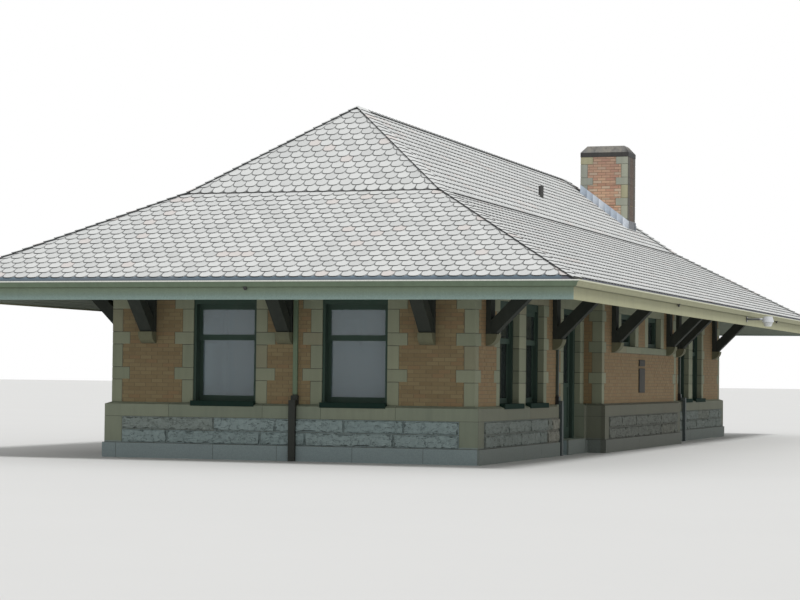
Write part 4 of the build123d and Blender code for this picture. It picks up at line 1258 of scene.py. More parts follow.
@dataclass
class Chimney:
    """The stack's toothed stones, the bricks between them and the flashing sheets at its foot."""

    dressings: Dressings
    rows: int = 4
    tall: float = 0.33
    low: float = 0.185
    foot: float = 4.2
    wide_stone: Pair = (0.31, 0.24)
    narrow_stone: Pair = (0.175, 0.175)
    sheet_count: int = 8
    sheet_rise: float = 0.225
    sheet_foot: float = 0.012
    sheet_lap: float = 1.12
    sheet_outs: Triple = (0.0085, 0.0135, 0.006)
    sheet_side: float = 0.01
    # Painted shadow on each sheet's lapped end and its turned-back edge
    sheet_shade: tuple[float, ...] = (0.0, 0.0, 0.7, 0.35, 1.0, 1.0, 0.0)
    seed: int = 31

    def sheets(self, material: Material) -> None:
        """Adds the lapped flashing sheets that climb the roof on the near and far faces.

        Args:
            material: The sheets' finish.
        """
        shell = Shell()
        rng = Random(self.seed)
        step = (STACK_X[1] - STACK_X[0] + 2 * self.sheet_side) / self.sheet_count
        first, last, back = self.sheet_outs
        rises = (self.sheet_foot, self.sheet_rise)
        for side, i in product((Side.STACK_NEAR, Side.STACK_FAR), range(self.sheet_count)):
            start = STACK_X[0] - self.sheet_side + i * step
            ends = (start, start + step * self.sheet_lap)
            feet = [EAVE_TOP + LOW_PITCH * KINK + HIGH_PITCH * (EAVE_X - KINK - x) for x in ends]
            points = [side.point(x, z + rise, out) for x, z, out in zip(ends, feet, (first, last)) for rise in rises]
            points += [side.point(ends[1], feet[1] + rise, back) for rise in rises]
            points += [side.point(ends[0], feet[0] + self.sheet_rise, back)]
            faces = [(0, 2, 3, 1), (2, 4, 5, 3), (1, 3, 5, 6)]
            # Each sheet's lapped end takes painted shadow
            shell.patch(points, faces if side is Side.STACK_NEAR else [face[::-1] for face in faces], rng.random(),
                        list(self.sheet_shade))
        shell.build("chimney_flashing_sheets", material, "flashing")

    def build(self, stone: Material, brick: Material, sheet: Material,
              bricks: Brickwork, tree: NodeTree) -> None:
        """Makes the stones as one piece, the flashing sheets as one and the bricks as one.

        Args:
            stone: Finish of the stones.
            brick: Finish of the bricks.
            sheet: Finish of the flashing sheets.
            bricks: The brickwork that lays the bricks.
            tree: The tree that lays bricks.
        """
        rng = Random(self.seed)
        shell = Shell()
        proud, joint = self.dressings.proud, self.dressings.joint
        start = STACK_TOP - self.rows * (self.tall + self.low)
        for row in range(2 * self.rows):
            wide = row % 2 == 1
            foot = start + (row // 2) * (self.tall + self.low) + (self.tall if wide else 0.0)
            top = foot + (self.low if wide else self.tall)
            size, side = self.wide_stone if wide else self.narrow_stone
            for (x, way), (y, turn) in product(zip(STACK_X, (1, -1)), zip(STACK_Y, (1, -1))):
                xs = sorted((x - way * proud, x + way * (size - joint)))
                ys = sorted((y - turn * proud, y + turn * (side - joint)))
                shell.chamfered(Vector((xs[0], ys[0], foot + joint)), Vector((xs[1], ys[1], top - joint)),
                                self.dressings.chamfer, rng.random())
                end = Side.STACK_NEAR if turn == 1 else Side.STACK_FAR
                flank = Side.STACK_TRACK if way == 1 else Side.STACK_STREET
                self.dressings.note(end, (x, x + way * size), (foot, top))
                self.dressings.note(flank, (y, y + turn * side), (foot, top))
        shell.build("chimney_stones", stone, "limestone")
        self.sheets(sheet)
        up = (self.foot, STACK_TOP)
        faces = ((Side.STACK_NEAR, STACK_X), (Side.STACK_FAR, STACK_X), (Side.STACK_STREET, STACK_Y),
                 (Side.STACK_TRACK, STACK_Y))
        bricks.build("chimney_bricks", [(side, along, up) for side, along in faces], brick, tree)


@dataclass
class SoffitBoards:
    """Boards under the eaves, mitred at the hips."""

    board: float = 0.11
    gap: float = 0.004
    drop: float = 0.28
    thickness: float = 0.012
    ease: float = 0.003
    margin: float = 0.06

    def plank(self, reach: float) -> Object:
        """One long board with eased edges, across the slope.

        Args:
            reach: Half its length.

        Returns:
            The board, to be laid by the courses.
        """
        half = (self.board - self.gap) / 2
        foot, ease = -self.thickness, self.ease
        section = [(-half, self.gap), (-half, foot + ease), (ease - half, foot), (half - ease, foot),
                   (half, foot + ease), (half, self.gap)]
        points = [(x, y, z) for x in (-reach, reach) for y, z in section]
        faces = [(i, i + 1, i + 7, i + 6) for i in range(5)] + [(5, 0, 6, 11)]
        return place_object("plank", make_mesh("plank", points, faces))

    def build(self, tree: NodeTree, material: Material) -> None:
        """Makes the boards of the four eaves.

        Args:
            tree: The tree that lays courses.
            material: The boards' finish.
        """
        pitch = math.atan(LOW_PITCH)
        rows = int((OVERHANG - self.margin) / math.cos(pitch) / self.board)
        for seed, (name, half, run, heading, out) in enumerate(EAVES):
            plank = self.plank(half)
            foot = Vector((0, MIDDLE)) + out * (run - self.margin)
            place = Vector((*foot, EAVE_TOP + LOW_PITCH * self.margin - self.drop))
            lay_courses(name + "_soffit_boards", tree, plank, material, (place, heading, pitch), {
                "Columns": 1, "Rows": rows, "Pitch": 0.0, "Exposure": self.board,
                "Half width": half - self.margin, "Inset": math.cos(pitch), "Seed": seed, "Jitter": 0.0})
            bpy.data.objects.remove(plank)


@dataclass
class ShingleRoof:
    """Shingles in rows on every slope, metal aprons at the eaves, and lapped caps on the hips and the ridge."""

    pitch: float = 0.223
    start: float = 0.1
    low_rows: int = 18
    high_rows: int = 15
    sheet: float = 2.4
    end_step: Pair = (0.020, 0.012)
    long_step: Pair = (0.027, 0.018)
    # Painted shadow at each shingle's lower edge: how dark the band on its top, its edge faces and its two sides are
    band_shade: tuple[float, ...] = (0.8, 0.8, 0.6, 0.4, 0.4, 0.6, 0.8, 0.8)
    edge_shade: tuple[float, ...] = (0.0, 0.1, 0.8, 1.0, 1.0, 0.8, 0.1, 0.0)
    borders: tuple[float, ...] = (0.010, 0.010, 0.009, 0.008, 0.007, 0.008, 0.009, 0.010, 0.010)
    outline: tuple[Pair, ...] = ((0.0, 0.0), (0.045, 0.004), (0.078, 0.019), (0.099, 0.044), (0.1095, 0.082))
    head: float = 0.3
    rises: Pair = (0.001, 0.0015)
    foot_shade: Pair = (0.6, 0.6)
    joggle: Pair = (0.004, 0.003)
    fold: float = 0.02
    fold_out: float = 0.004
    # How dark the painted shadow on each apron's fold is, from its foot up
    apron_shade: tuple[float, ...] = (0.9, 0.9, 0.7, 0.7, 0.0, 0.0)
    apron_seed: int = 8
    tuck: float = 0.05
    hip_lift: Pair = (0.052, 0.036)
    ridge_lift: Pair = (0.042, 0.030)
    hip_legs: Pair = (0.46, 0.014)
    ridge_leg: float = 0.06
    cap_exposure: float = 0.2
    cap_lap: float = 1.12
    cap_depths: Triple = (0.034, 0.02, 0.035)
    # Painted shadow on each cap's edges and ends, face by face
    cap_shade: tuple[float, ...] = (0.0, 0.0, 1.0, 1.0, 0.8, 1.0, 0.0)
    cap_tints: Pair = (0.4, 0.6)
    crown: float = 0.004
    cap_seed: int = 3

    def shingle(self, lift: float, thickness: float) -> Object:
        """One scalloped shingle, its lower edge at the origin and its head lapped under the next row.

        Args:
            lift: How far its lower edge stands off the slope.
            thickness: How deep that edge is.

        Returns:
            The shingle, to be laid by the courses.
        """
        half, head = self.outline[-1][0], self.head
        outline = [(-x, y) for x, y in reversed(self.outline[1:])] + list(self.outline)
        shaded_rim = len(outline)
        inner = [(x * (1 - border / half), y + border) for (x, y), border in zip(outline, self.borders)]
        rings = [*outline, *inner, *outline]
        flat, raised = self.rises
        rises = [flat] * shaded_rim + [raised] * shaded_rim + [flat - thickness] * shaded_rim
        points = [(x, y, lift * (1 - y / head) + up) for (x, y), up in zip(rings, rises)]
        points += [(half, head, 0.0), (-half, head, 0.0)]
        right, left = 3 * shaded_rim, 3 * shaded_rim + 1
        faces = [(*range(shaded_rim, 2 * shaded_rim), right, left)]
        faces += [(i, i + 1, shaded_rim + i + 1, shaded_rim + i) for i in range(shaded_rim - 1)]
        faces += [(2 * shaded_rim + i, 2 * shaded_rim + i + 1, i + 1, i) for i in range(shaded_rim - 1)]
        faces += [(shaded_rim - 1, right, 2 * shaded_rim - 1), (0, shaded_rim, left)]
        mesh = make_mesh("scallop", points, faces)
        # Painted shadow along the lower edge: the band, the edge faces and the sides darken
        mark_mesh(mesh, "shaded_rim", [0.0, *self.band_shade, *self.edge_shade, *self.foot_shade], "FACE")
        return place_object("scallop", mesh)

    def apron(self, material: Material) -> None:
        """Adds the metal sheets between the gutters and the first row.

        Args:
            material: The sheets' finish.
        """
        shell = Shell()
        rng = Random(self.apron_seed)
        depth = self.start + self.tuck
        for _, half, run, heading, out in EAVES:
            right = Vector((math.cos(heading), math.sin(heading)))
            foot = Vector((0, MIDDLE)) + out * run
            count = round(2 * half / self.sheet)
            for i in range(count):
                lift = self.joggle[0] + self.joggle[1] * (i % 2)
                points = []
                for inward, rise in ((-self.fold_out, lift - self.fold), (-self.fold_out, lift), (depth, lift)):
                    for edge in (i, i + 1):
                        across = max(inward - half, min(half - inward, (2 * edge / count - 1) * half))
                        place = foot + right * across - out * inward
                        points.append(Vector((*place, EAVE_TOP + LOW_PITCH * inward + rise)))
                # Each apron's fold takes painted shadow
                shell.patch(points, [(0, 1, 3, 2), (2, 3, 5, 4)], rng.random(), list(self.apron_shade))
        shell.build("eave_aprons", material, "flashing")

    def slopes(self) -> list[tuple[str, float, float, float, float, int, Vector, float]]:
        """Every slope of the roof.

        Returns:
            Name, half width at its foot, inset per metre, pitch, length, rows, foot and heading of each slope.
        """
        low, high = math.atan(LOW_PITCH), math.atan(HIGH_PITCH)
        kink_z = EAVE_TOP + LOW_PITCH * KINK
        rows = []
        for name, half, run, heading, out in EAVES:
            foot = Vector((0, MIDDLE)) + out * run
            knee = foot - out * KINK
            rows.append((name + "_lower_shingles", half - self.start, math.cos(low), low,
                         (KINK - self.start) / math.cos(low), self.low_rows,
                         Vector((*(foot - out * self.start), EAVE_TOP + LOW_PITCH * self.start)), heading))
            rise = (EAVE_X - KINK) / math.cos(high)
            rows.append((name + "_upper_shingles", half - KINK, math.cos(high), high, rise, self.high_rows,
                         Vector((*knee, kink_z)), heading))
        return rows

    def caps(self, material: Material) -> None:
        """Adds the lapped caps along the hips and the ridge.

        Args:
            material: The caps' finish.
        """
        shell = Shell()
        rng = Random(self.cap_seed)
        kink_z = EAVE_TOP + LOW_PITCH * KINK
        top_z = kink_z + HIGH_PITCH * (EAVE_X - KINK)
        for sx, sy in product((1, -1), repeat=2):
            y0 = -OVERHANG if sy == 1 else LENGTH + OVERHANG
            corners = [Vector((sx * EAVE_X, y0, EAVE_TOP)), Vector((sx * (EAVE_X - KINK), y0 + sy * KINK, kink_z)),
                       Vector((0.0, y0 + sy * EAVE_X, top_z))]
            for foot, top in pairwise(corners):
                self.cap_run(shell, foot, top, (Vector((0.0, sy, 0.0)), self.hip_legs[0]),
                             (Vector((-sx, 0.0, 0.0)), self.hip_legs[1]), self.hip_lift, rng)
        ridge = [Vector((0, EAVE_X - OVERHANG, top_z)), Vector((0, LENGTH + OVERHANG - EAVE_X, top_z))]
        down = Vector((1, 0, -HIGH_PITCH)).normalized()
        self.cap_run(shell, *ridge, (Vector((-down.x, 0, down.z)), self.ridge_leg), (down, self.ridge_leg),
                     self.ridge_lift, rng)
        piece = shell.build("roof_caps", material, "shingles")
        # Painted shadow along the caps' edges, so each hip and the ridge shows a dark line
        marks = [self.cap_shade[i % len(self.cap_shade)] for i in range(len(piece.data.polygons))]
        mark_mesh(piece.data, "shaded_rim", marks, "FACE")
        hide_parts("hip_and_ridge_caps")

    def cap_run(self, shell: Shell, foot: Vector, top: Vector, first: tuple[Vector, float],
                second: tuple[Vector, float], lift: Pair, rng: Random) -> None:
        """Adds lapped caps along one hip or ridge.

        Args:
            shell: The piece being gathered.
            foot: Where the first cap starts.
            top: Where the last one ends.
            first: Way and length of the leg on one side.
            second: Way and length of the leg on the other.
            lift: How far each cap's foot and head stand off the slopes.
            rng: Source of the shades.
        """
        run = top - foot
        count = max(1, round(run.length / self.cap_exposure))
        step = run / count
        normals = [leg.cross(run).normalized() for leg, _ in (first, second)]
        normal, other = (n if n.z > 0 else -n for n in normals)
        crown = (normal + other).normalized()
        ways = (normal, crown, other)
        legs = (first[0] * first[1], Vector((0, 0, 0)), second[0] * second[1])
        for i in range(count):
            tint = rng.random() * self.cap_tints[1] + self.cap_tints[0]
            ends = [[foot + step * along + leg + way * (rise + (self.crown if way is crown else 0.0))
                     for leg, way in zip(legs, ways)]
                    for along, rise in ((i, lift[0]), (i + self.cap_lap, lift[1]))]
            a, b = ends
            deep, shallow, outer = self.cap_depths
            c = [a[0] - normal * deep, a[1] - crown * deep, a[2] - other * outer]
            d = [b[0] - normal * shallow, b[1] - crown * shallow, b[2] - other * outer]
            points = a + b + c + d
            faces = [(0, 1, 4, 3), (1, 2, 5, 4), (0, 6, 7, 1), (1, 7, 8, 2), (0, 3, 9, 6), (2, 8, 11, 5),
                     (3, 4, 5, 11, 10, 9)]
            turn = (a[1] - a[0]).cross(b[0] - a[0]).dot(crown) < 0
            shell.patch(points, [face[::-1] if turn else face for face in faces], tint)

    def build(self, material: Material, sheet: Material, tree: NodeTree) -> None:
        """Makes the aprons, the shingles slope by slope, then the caps.

        Args:
            material: Finish of the shingles and the caps.
            sheet: Finish of the aprons.
            tree: The tree that lays courses.
        """
        self.apron(sheet)
        kinds = {"end": self.shingle(*self.end_step), "long": self.shingle(*self.long_step)}
        for seed, (name, half, inset, pitch, length, rows, foot, heading) in enumerate(self.slopes()):
            shingle = kinds["end" if name.startswith(("front", "back")) else "long"]
            lay_courses(name, tree, shingle, material, (foot, heading, pitch), {
                "Columns": 2 * math.ceil(half / self.pitch) + 3, "Rows": rows, "Pitch": self.pitch,
                "Exposure": length / rows, "Half width": half, "Inset": inset, "Seed": seed, "Jitter": 1.0})
        for shingle in kinds.values():
            bpy.data.objects.remove(shingle)
        self.caps(material)


@dataclass
class Fittings:
    """Small fittings: gutter outlets, two plates on the street bay and the street door's knobs."""

    plates: tuple[tuple[Pair, Pair], ...] = (((10.76, 11.28), (1.17, 1.68)), ((10.76, 11.28), (1.725, 1.86)))
    plate_depth: float = 0.03
    ease: float = 0.004
    lead: float = 0.035
    end_outlet: float = 0.118
    side_outlets: tuple[float, ...] = (5.65, 17.19)
    outlet_sizes: tuple[Pair, ...] = ((0.030, 0.026), (0.030, 0.026), (0.022, 0.020), (0.016, 0.014))
    outlet_heights: tuple[float, ...] = (2.86, 2.845, 2.835, 2.805)
    knob: Pair = (5.998, 1.322)
    leaf: Pair = (3.065, 3.115)
    profile: tuple[Pair, ...] = ((0.0, 0.031), (0.006, 0.029), (0.007, 0.012), (0.026, 0.011), (0.032, 0.023),
                                 (0.042, 0.028), (0.052, 0.022), (0.057, 0.0))
    segments: int = 16
    shade: float = 0.5

    def outlets(self, shell: Shell) -> None:
        """Adds the tapered outlets that hang under the gutters, over the downspouts.

        Args:
            shell: The piece being gathered.
        """
        for _, _, run, heading, out in EAVES:
            right = Vector((math.cos(heading), math.sin(heading)))
            for across in ((self.end_outlet,) if out.x == 0 else self.side_outlets):
                along = across if out.x == 0 else (across - MIDDLE) * right.y
                middle = Vector((0, MIDDLE)) + out * (run + self.lead) + right * along
                rings = [Vector((*(middle + right * x - out * y), z))
                         for (wide, deep), z in zip(self.outlet_sizes, self.outlet_heights)
                         for x, y in ((-wide, -deep), (wide, -deep), (wide, deep), (-wide, deep))]
                faces = [(4 * k + i, 4 * k + 4 + i, 4 * k + 4 + (i + 1) % 4, 4 * k + (i + 1) % 4)
                         for k in range(len(self.outlet_heights) - 1) for i in range(4)]
                last = 4 * (len(self.outlet_heights) - 1)
                shell.patch(rings, [*faces, (last + 3, last + 2, last + 1, last)], self.shade)

    def knobs(self, shell: Shell) -> None:
        """Adds a turned knob on each face of the door's leaf.

        Args:
            shell: The piece being gathered.
        """
        y, z = self.knob
        turns = [2 * math.pi * i / self.segments for i in range(self.segments)]
        for plane, way in ((self.leaf[1], 1), (self.leaf[0], -1)):
            points = [Vector((plane + way * out, y + r * math.cos(a), z + r * math.sin(a)))
                      for out, r in self.profile for a in turns]
            faces = [(k * self.segments + i, k * self.segments + (i + 1) % self.segments,
                      (k + 1) * self.segments + (i + 1) % self.segments, (k + 1) * self.segments + i)
                     for k in range(len(self.profile) - 1) for i in range(self.segments)]
            shell.patch(points, faces if way == 1 else [face[::-1] for face in faces], self.shade)

    def build(self, plate: Material, pipe: Material, knob: Material) -> None:
        """Makes the plates, the outlets, and the knobs, which ride on the door.

        Args:
            plate: Finish of the plates.
            pipe: Finish of the outlets.
            knob: Finish of the knobs.
        """
        shell = Shell()
        self.outlets(shell)
        shell.build("gutter_outlets", pipe, "downspout")
        shell = Shell()
        for along, up in self.plates:
            low, high = Side.STREET_BAY.block(along, up, (-self.ease, self.plate_depth))
            shell.chamfered(low, high, self.ease, self.shade)
        shell.build("wall_plates", plate, "lamp_metal")
        shell = Shell()
        self.knobs(shell)
        shell.build("door_knobs", knob, "lamp_metal", "door_leaf", True)


@dataclass(frozen=True)
class Studio:
    """Pale floor, soft light and the camera of the photograph."""

    position: Triple = (13.772, -35.024, 1.438)
    yaw: float = -0.3248
    pitch: float = 0.0349
    roll: float = 0.0111
    sensor: float = 36.0
    focal_pixels: float = 2212.3
    photo_width: float = 800.0
    far: float = 1000.0
    sun_strength: float = 2.2
    sun_softness: float = 12.0
    sun_turn: Triple = (34.0, 0.0, 52.0)
    sky: float = 0.6
    reach: float = 400.0

    def camera(self) -> None:
        """Sets the camera."""
        forward = Vector((math.sin(self.yaw) * math.cos(self.pitch), math.cos(self.yaw) * math.cos(self.pitch),
                          math.sin(self.pitch)))
        right = Vector((math.cos(self.yaw), -math.sin(self.yaw), 0.0))
        up = right.cross(forward)
        level, rise = right.copy(), up.copy()
        right = level * math.cos(self.roll) + rise * math.sin(self.roll)
        up = rise * math.cos(self.roll) - level * math.sin(self.roll)
        data = bpy.data.cameras.new("camera")
        data.lens = self.focal_pixels / self.photo_width * self.sensor
        data.sensor_width = self.sensor
        data.sensor_fit = "HORIZONTAL"
        data.clip_end = self.far
        camera = place_object("camera", data)
        axes = Matrix((right, up, -forward)).transposed().to_4x4()
        camera.matrix_world = Matrix.Translation(self.position) @ axes
        bpy.context.scene.camera = camera

    def lights(self) -> None:
        """Sets the soft sun and the pale world."""
        sun = bpy.data.lights.new("sun", "SUN")
        sun.energy = self.sun_strength
        sun.angle = math.radians(self.sun_softness)
        place_object("sun", sun).rotation_euler = Euler(math.radians(turn) for turn in self.sun_turn)
        world = bpy.data.worlds.new("studio")
        world.use_nodes = True
        world.node_tree.nodes.clear()
        g = Graph(world.node_tree)
        path = g.add("ShaderNodeLightPath").outputs
        seen = g.math("MAXIMUM", path["Is Camera Ray"], path["Is Transmission Ray"])
        seen = g.math("MAXIMUM", seen, path["Is Glossy Ray"])
        strength = g.math("MULTIPLY_ADD", seen, 1.0 - self.sky, self.sky)
        back = g.add("ShaderNodeBackground", {"Color": (1.0, 1.0, 1.0, 1.0), "Strength": strength})
        g.add("ShaderNodeOutputWorld", {"Surface": back.outputs[0]})
        bpy.context.scene.world = world

    def floor(self) -> None:
        """Sets the plain pale floor."""
        corners = [(x * self.reach, y * self.reach, 0) for x, y in ((-1, -1), (1, -1), (1, 1), (-1, 1))]
        floor = place_object("floor", make_mesh("floor", corners, [(0, 1, 2, 3)]))
        plain = Finish("studio_floor", (0.62, 0.62, 0.61), (0.60, 0.60, 0.59), (0.62, 0.62, 0.61), patch_scale=0.2,
                       streak_amount=0.0, grain_amount=0.02, roughness=0.95)
        floor.data.materials.append(plain.material())

    def build(self) -> None:
        """Makes the studio."""
        self.camera()
        self.lights()
        self.floor()
        bpy.context.scene.view_settings.view_transform = "Standard"


# The finishes
DARK_IRON = (0.020, 0.019, 0.019)
STONE = PieceFinish("limestone", (0.275, 0.295, 0.20), (0.21, 0.235, 0.17), (0.14, 0.15, 0.11),
                    pale=(0.33, 0.335, 0.235), deep=(0.20, 0.225, 0.16), odd=(0.25, 0.215, 0.14), tint_amount=0.45,
                    streak_amount=0.3, grain_scale=60.0, bump=0.3)
# Painted shade on the street side's base stones, and darker on the bays' base
STREET_BASE_SHADE = Zone(0, 3.38, 3.392, (0.125, 0.125, 0.095), 0.6)
BAY_BASE_SHADE = Zone(0, 3.66, 3.70, (0.10, 0.098, 0.075), 0.55)
BASE = PieceFinish("base_stone", (0.27, 0.30, 0.215), (0.20, 0.23, 0.175), (0.13, 0.145, 0.115),
                   pale=(0.32, 0.34, 0.25), deep=(0.20, 0.235, 0.185), odd=(0.25, 0.23, 0.16), tint_amount=0.45,
                   streak_amount=0.35, grain_scale=60.0, bump=0.3,
                   zones=(Zone(2, 0.30, 0.26, (0.27, 0.34, 0.36), 0.85), STREET_BASE_SHADE, BAY_BASE_SHADE))
# Its dark patches are partly the stone's mottled tone and partly painted shade of the facets; its edge colour is
# painted shade in the crevices and along the margins
ROCK = RockFinish("rock_face", (0.33, 0.42, 0.42), (0.19, 0.25, 0.25), (0.17, 0.205, 0.205),
                   pale=(0.40, 0.48, 0.47), deep=(0.22, 0.295, 0.30), odd=(0.27, 0.26, 0.20), tint_amount=0.35,
                   patch_scale=11.0, patch_amount=0.75, streak_amount=0.2, grain_scale=70.0, grain_amount=0.5,
                   bump=0.8, bump_depth=0.012, edge=(0.06, 0.075, 0.07), zones=(STREET_BASE_SHADE, BAY_BASE_SHADE))
# Its edge colour is painted shade in the crevices and along the margins
SPALL = RockFinish("spalled_stone", (0.19, 0.19, 0.155), (0.34, 0.345, 0.30), (0.14, 0.14, 0.11),
                    pale=(0.27, 0.27, 0.22), deep=(0.19, 0.19, 0.15), odd=(0.22, 0.21, 0.16), tint_amount=0.3,
                    patch_scale=7.0, patch_amount=0.9, grain_scale=70.0, bump=0.7, bump_depth=0.012,
                    edge=(0.10, 0.10, 0.09))
BRICK = PieceFinish("buff_brick", (0.245, 0.185, 0.093), (0.21, 0.16, 0.087), (0.15, 0.12, 0.072),
                    pale=(0.29, 0.235, 0.125), deep=(0.205, 0.14, 0.072), odd=(0.26, 0.16, 0.085), odd_share=0.1,
                    tint_amount=0.5, streak_amount=0.2, grain_scale=90.0, bump=0.3,
                    zones=(Zone(0, 3.28, 3.30, (0.30, 0.185, 0.09), 0.4),))
# Painted shade on the stack's street face, its stones and bricks alike
STACK_STREET_SHADE = Zone(0, 1.670, 1.678, (0.055, 0.045, 0.040), 0.9)
STACK_BRICK = PieceFinish("chimney_brick", (0.54, 0.30, 0.18), (0.42, 0.27, 0.20), (0.25, 0.19, 0.17),
                          pale=(0.64, 0.45, 0.30), deep=(0.43, 0.22, 0.16), odd=(0.54, 0.47, 0.36), odd_share=0.14,
                          tint_amount=0.6, streak_amount=0.5, grain_scale=90.0, bump=0.3,
                          zones=(Zone(2, 6.1, 6.9, (0.27, 0.17, 0.14), 0.55), STACK_STREET_SHADE))
STACK_STONE = PieceFinish("chimney_stone", (0.36, 0.37, 0.29), (0.27, 0.28, 0.22), (0.14, 0.14, 0.12),
                          pale=(0.44, 0.45, 0.34), deep=(0.25, 0.265, 0.25), odd=(0.40, 0.36, 0.20),
                          tint_amount=0.55, streak_amount=0.5, patch_scale=4.0, grain_scale=60.0, bump=0.3,
                          zones=(STACK_STREET_SHADE,))
MORTAR = Finish("brick_mortar", (0.20, 0.155, 0.09), (0.17, 0.135, 0.08), (0.13, 0.11, 0.07), grain_scale=120.0)
JOINTS = Finish("stone_joints", (0.10, 0.10, 0.08), (0.08, 0.08, 0.065), (0.05, 0.05, 0.045), grain_scale=80.0)
# Its edge colour is painted shadow along the shingles' lower edges and the caps' edges
SHINGLE = PieceFinish("scalloped_shingles", (0.57, 0.58, 0.57), (0.52, 0.53, 0.52), (0.45, 0.46, 0.45),
                      pale=(0.64, 0.65, 0.64), deep=(0.48, 0.49, 0.485), odd=(0.60, 0.53, 0.50), odd_share=0.04,
                      tint_amount=0.5, patch_scale=0.35, grain_scale=150.0, grain_amount=0.12,
                      edge=(0.06, 0.063, 0.065))
UNDERLAY = Finish("roof_underlay", (0.10, 0.10, 0.10), (0.08, 0.08, 0.08), (0.07, 0.07, 0.07))
# Its edge colour is painted shadow on the aprons' folds at the roof's edge
APRON = PieceFinish("eave_apron", (0.14, 0.19, 0.23), (0.11, 0.15, 0.18), (0.08, 0.10, 0.12),
                    pale=(0.17, 0.22, 0.27), deep=(0.11, 0.15, 0.18), odd=(0.15, 0.17, 0.19), roughness=0.7,
                    specular=0.2, edge=(0.03, 0.04, 0.045), zones=(Zone(0, 5.30, 5.32, (0.085, 0.085, 0.10), 0.85),))
TIMBER = Finish("dark_green_timber", (0.034, 0.040, 0.034), (0.042, 0.046, 0.038), (0.060, 0.064, 0.054),
                roughness=0.8, grain_scale=25.0, specular=0.2)
JOINERY = Finish("joinery_green", (0.036, 0.066, 0.050), (0.044, 0.074, 0.057), (0.060, 0.078, 0.064),
                 roughness=0.7, grain_scale=30.0, specular=0.25)
BOARDS = Finish("pale_boards", (0.18, 0.19, 0.145), (0.16, 0.17, 0.13), (0.12, 0.13, 0.10), roughness=0.6)
SIDE_BOARDS = Finish("cream_fascia", (0.345, 0.345, 0.215), (0.31, 0.31, 0.195), (0.24, 0.245, 0.165),
                     roughness=0.7, streak_amount=0.3, specular=0.3)
# The ends' sage paint, darker than the street side's boards as painted shade; bluer towards the bottom
END_BOARDS_IN_SHADE = Finish("sage_fascia_in_shade", (0.215, 0.275, 0.20), (0.185, 0.24, 0.175), (0.14, 0.18, 0.135), roughness=0.7,
                    streak_amount=0.25, specular=0.3, zones=(Zone(2, 2.80, 2.70, (0.215, 0.30, 0.285), 0.75),))
PLANK = PieceFinish("soffit_boards", (0.22, 0.25, 0.20), (0.19, 0.215, 0.175), (0.15, 0.165, 0.135),
                    pale=(0.24, 0.27, 0.215), deep=(0.19, 0.215, 0.175), odd=(0.20, 0.22, 0.18), tint_amount=0.4,
                    roughness=0.7, specular=0.3)
# Painted highlight along the gutters' lip
LIP_HIGHLIGHT = Zone(2, 2.936, 2.942, (0.70, 0.71, 0.66), 0.95)
# Cream gutters, darker along the bottom, with a painted highlight along the lip
SIDE_GUTTER = Finish("cream_gutter", (0.41, 0.41, 0.27), (0.37, 0.37, 0.245), (0.28, 0.285, 0.20), roughness=0.7,
                     specular=0.2, zones=(Zone(2, 2.865, 2.85, (0.12, 0.125, 0.085), 0.8),
                                         Zone(2, 2.936, 2.942, (0.58, 0.59, 0.47), 0.85)))
# The ends' sage gutters, darker than the street side's as painted shade, darker along the bottom and with the
# painted lip highlight
END_GUTTER_IN_SHADE = Finish("sage_gutter_in_shade", (0.17, 0.225, 0.155), (0.15, 0.20, 0.14), (0.11, 0.14, 0.10), roughness=0.7,
                    specular=0.2, zones=(Zone(2, 2.865, 2.85, (0.08, 0.09, 0.05), 0.8), LIP_HIGHLIGHT))
PIPE = Finish("pipe_paint", (0.16, 0.22, 0.14), (0.13, 0.18, 0.12), (0.09, 0.11, 0.08), roughness=0.6,
              specular=0.3, zones=(Zone(0, 3.28, 3.30, (0.055, 0.068, 0.062), 0.9),
                                   Zone(2, 1.15, 1.115, DARK_IRON, 0.92),
                                   Zone(0, 3.368, 3.372, (0.10, 0.125, 0.125), 0.8)))
# The street face of the flashing is darkened as painted shade
LEAD = Finish("sheet_flashing", (0.50, 0.56, 0.64), (0.40, 0.46, 0.54), (0.30, 0.34, 0.40), roughness=0.5,
              patch_scale=6.0, zones=(Zone(0, 1.678, 1.684, (0.06, 0.065, 0.07)),))
# Its edge colour is painted shadow on the sheets' lapped ends
SHEETS = PieceFinish("flashing_sheets", (0.60, 0.68, 0.78), (0.46, 0.54, 0.64), (0.34, 0.38, 0.44),
                     pale=(0.86, 0.90, 0.96), deep=(0.46, 0.54, 0.64), odd=(0.34, 0.38, 0.44), odd_share=0.12,
                     tint_amount=0.7, roughness=0.5, patch_scale=9.0, edge=(0.14, 0.16, 0.19))
# Sooty cap stone, with painted shade on its street side; darker below 7.06 m
SOOT_AND_SHADE = Finish("sooty_shaded_stone", (0.15, 0.15, 0.145), (0.27, 0.245, 0.20), (0.06, 0.06, 0.06), patch_scale=3.5,
              patch_amount=0.8, streak_amount=0.6,
              zones=(Zone(2, 7.075, 7.06, (0.022, 0.021, 0.021), 0.85),
                     Zone(0, 1.55, 1.66, (0.035, 0.035, 0.035), 0.9)))
CORBEL = Finish("corbel_stone", (0.165, 0.165, 0.10), (0.125, 0.13, 0.08), (0.085, 0.085, 0.06))
SLAB = Finish("floor_slab", (0.30, 0.29, 0.27), (0.26, 0.25, 0.24), (0.2, 0.2, 0.19))
# Pale lamp paint, brightened on the hood as a painted glint; the arm is dark
LAMP_PAINT_AND_GLINT = Finish("lamp_paint_and_glint", (0.55, 0.57, 0.60), (0.45, 0.47, 0.48), (0.32, 0.33, 0.33), roughness=0.3,
              zones=(Zone(0, 5.84, 5.80, (0.05, 0.055, 0.05)),))
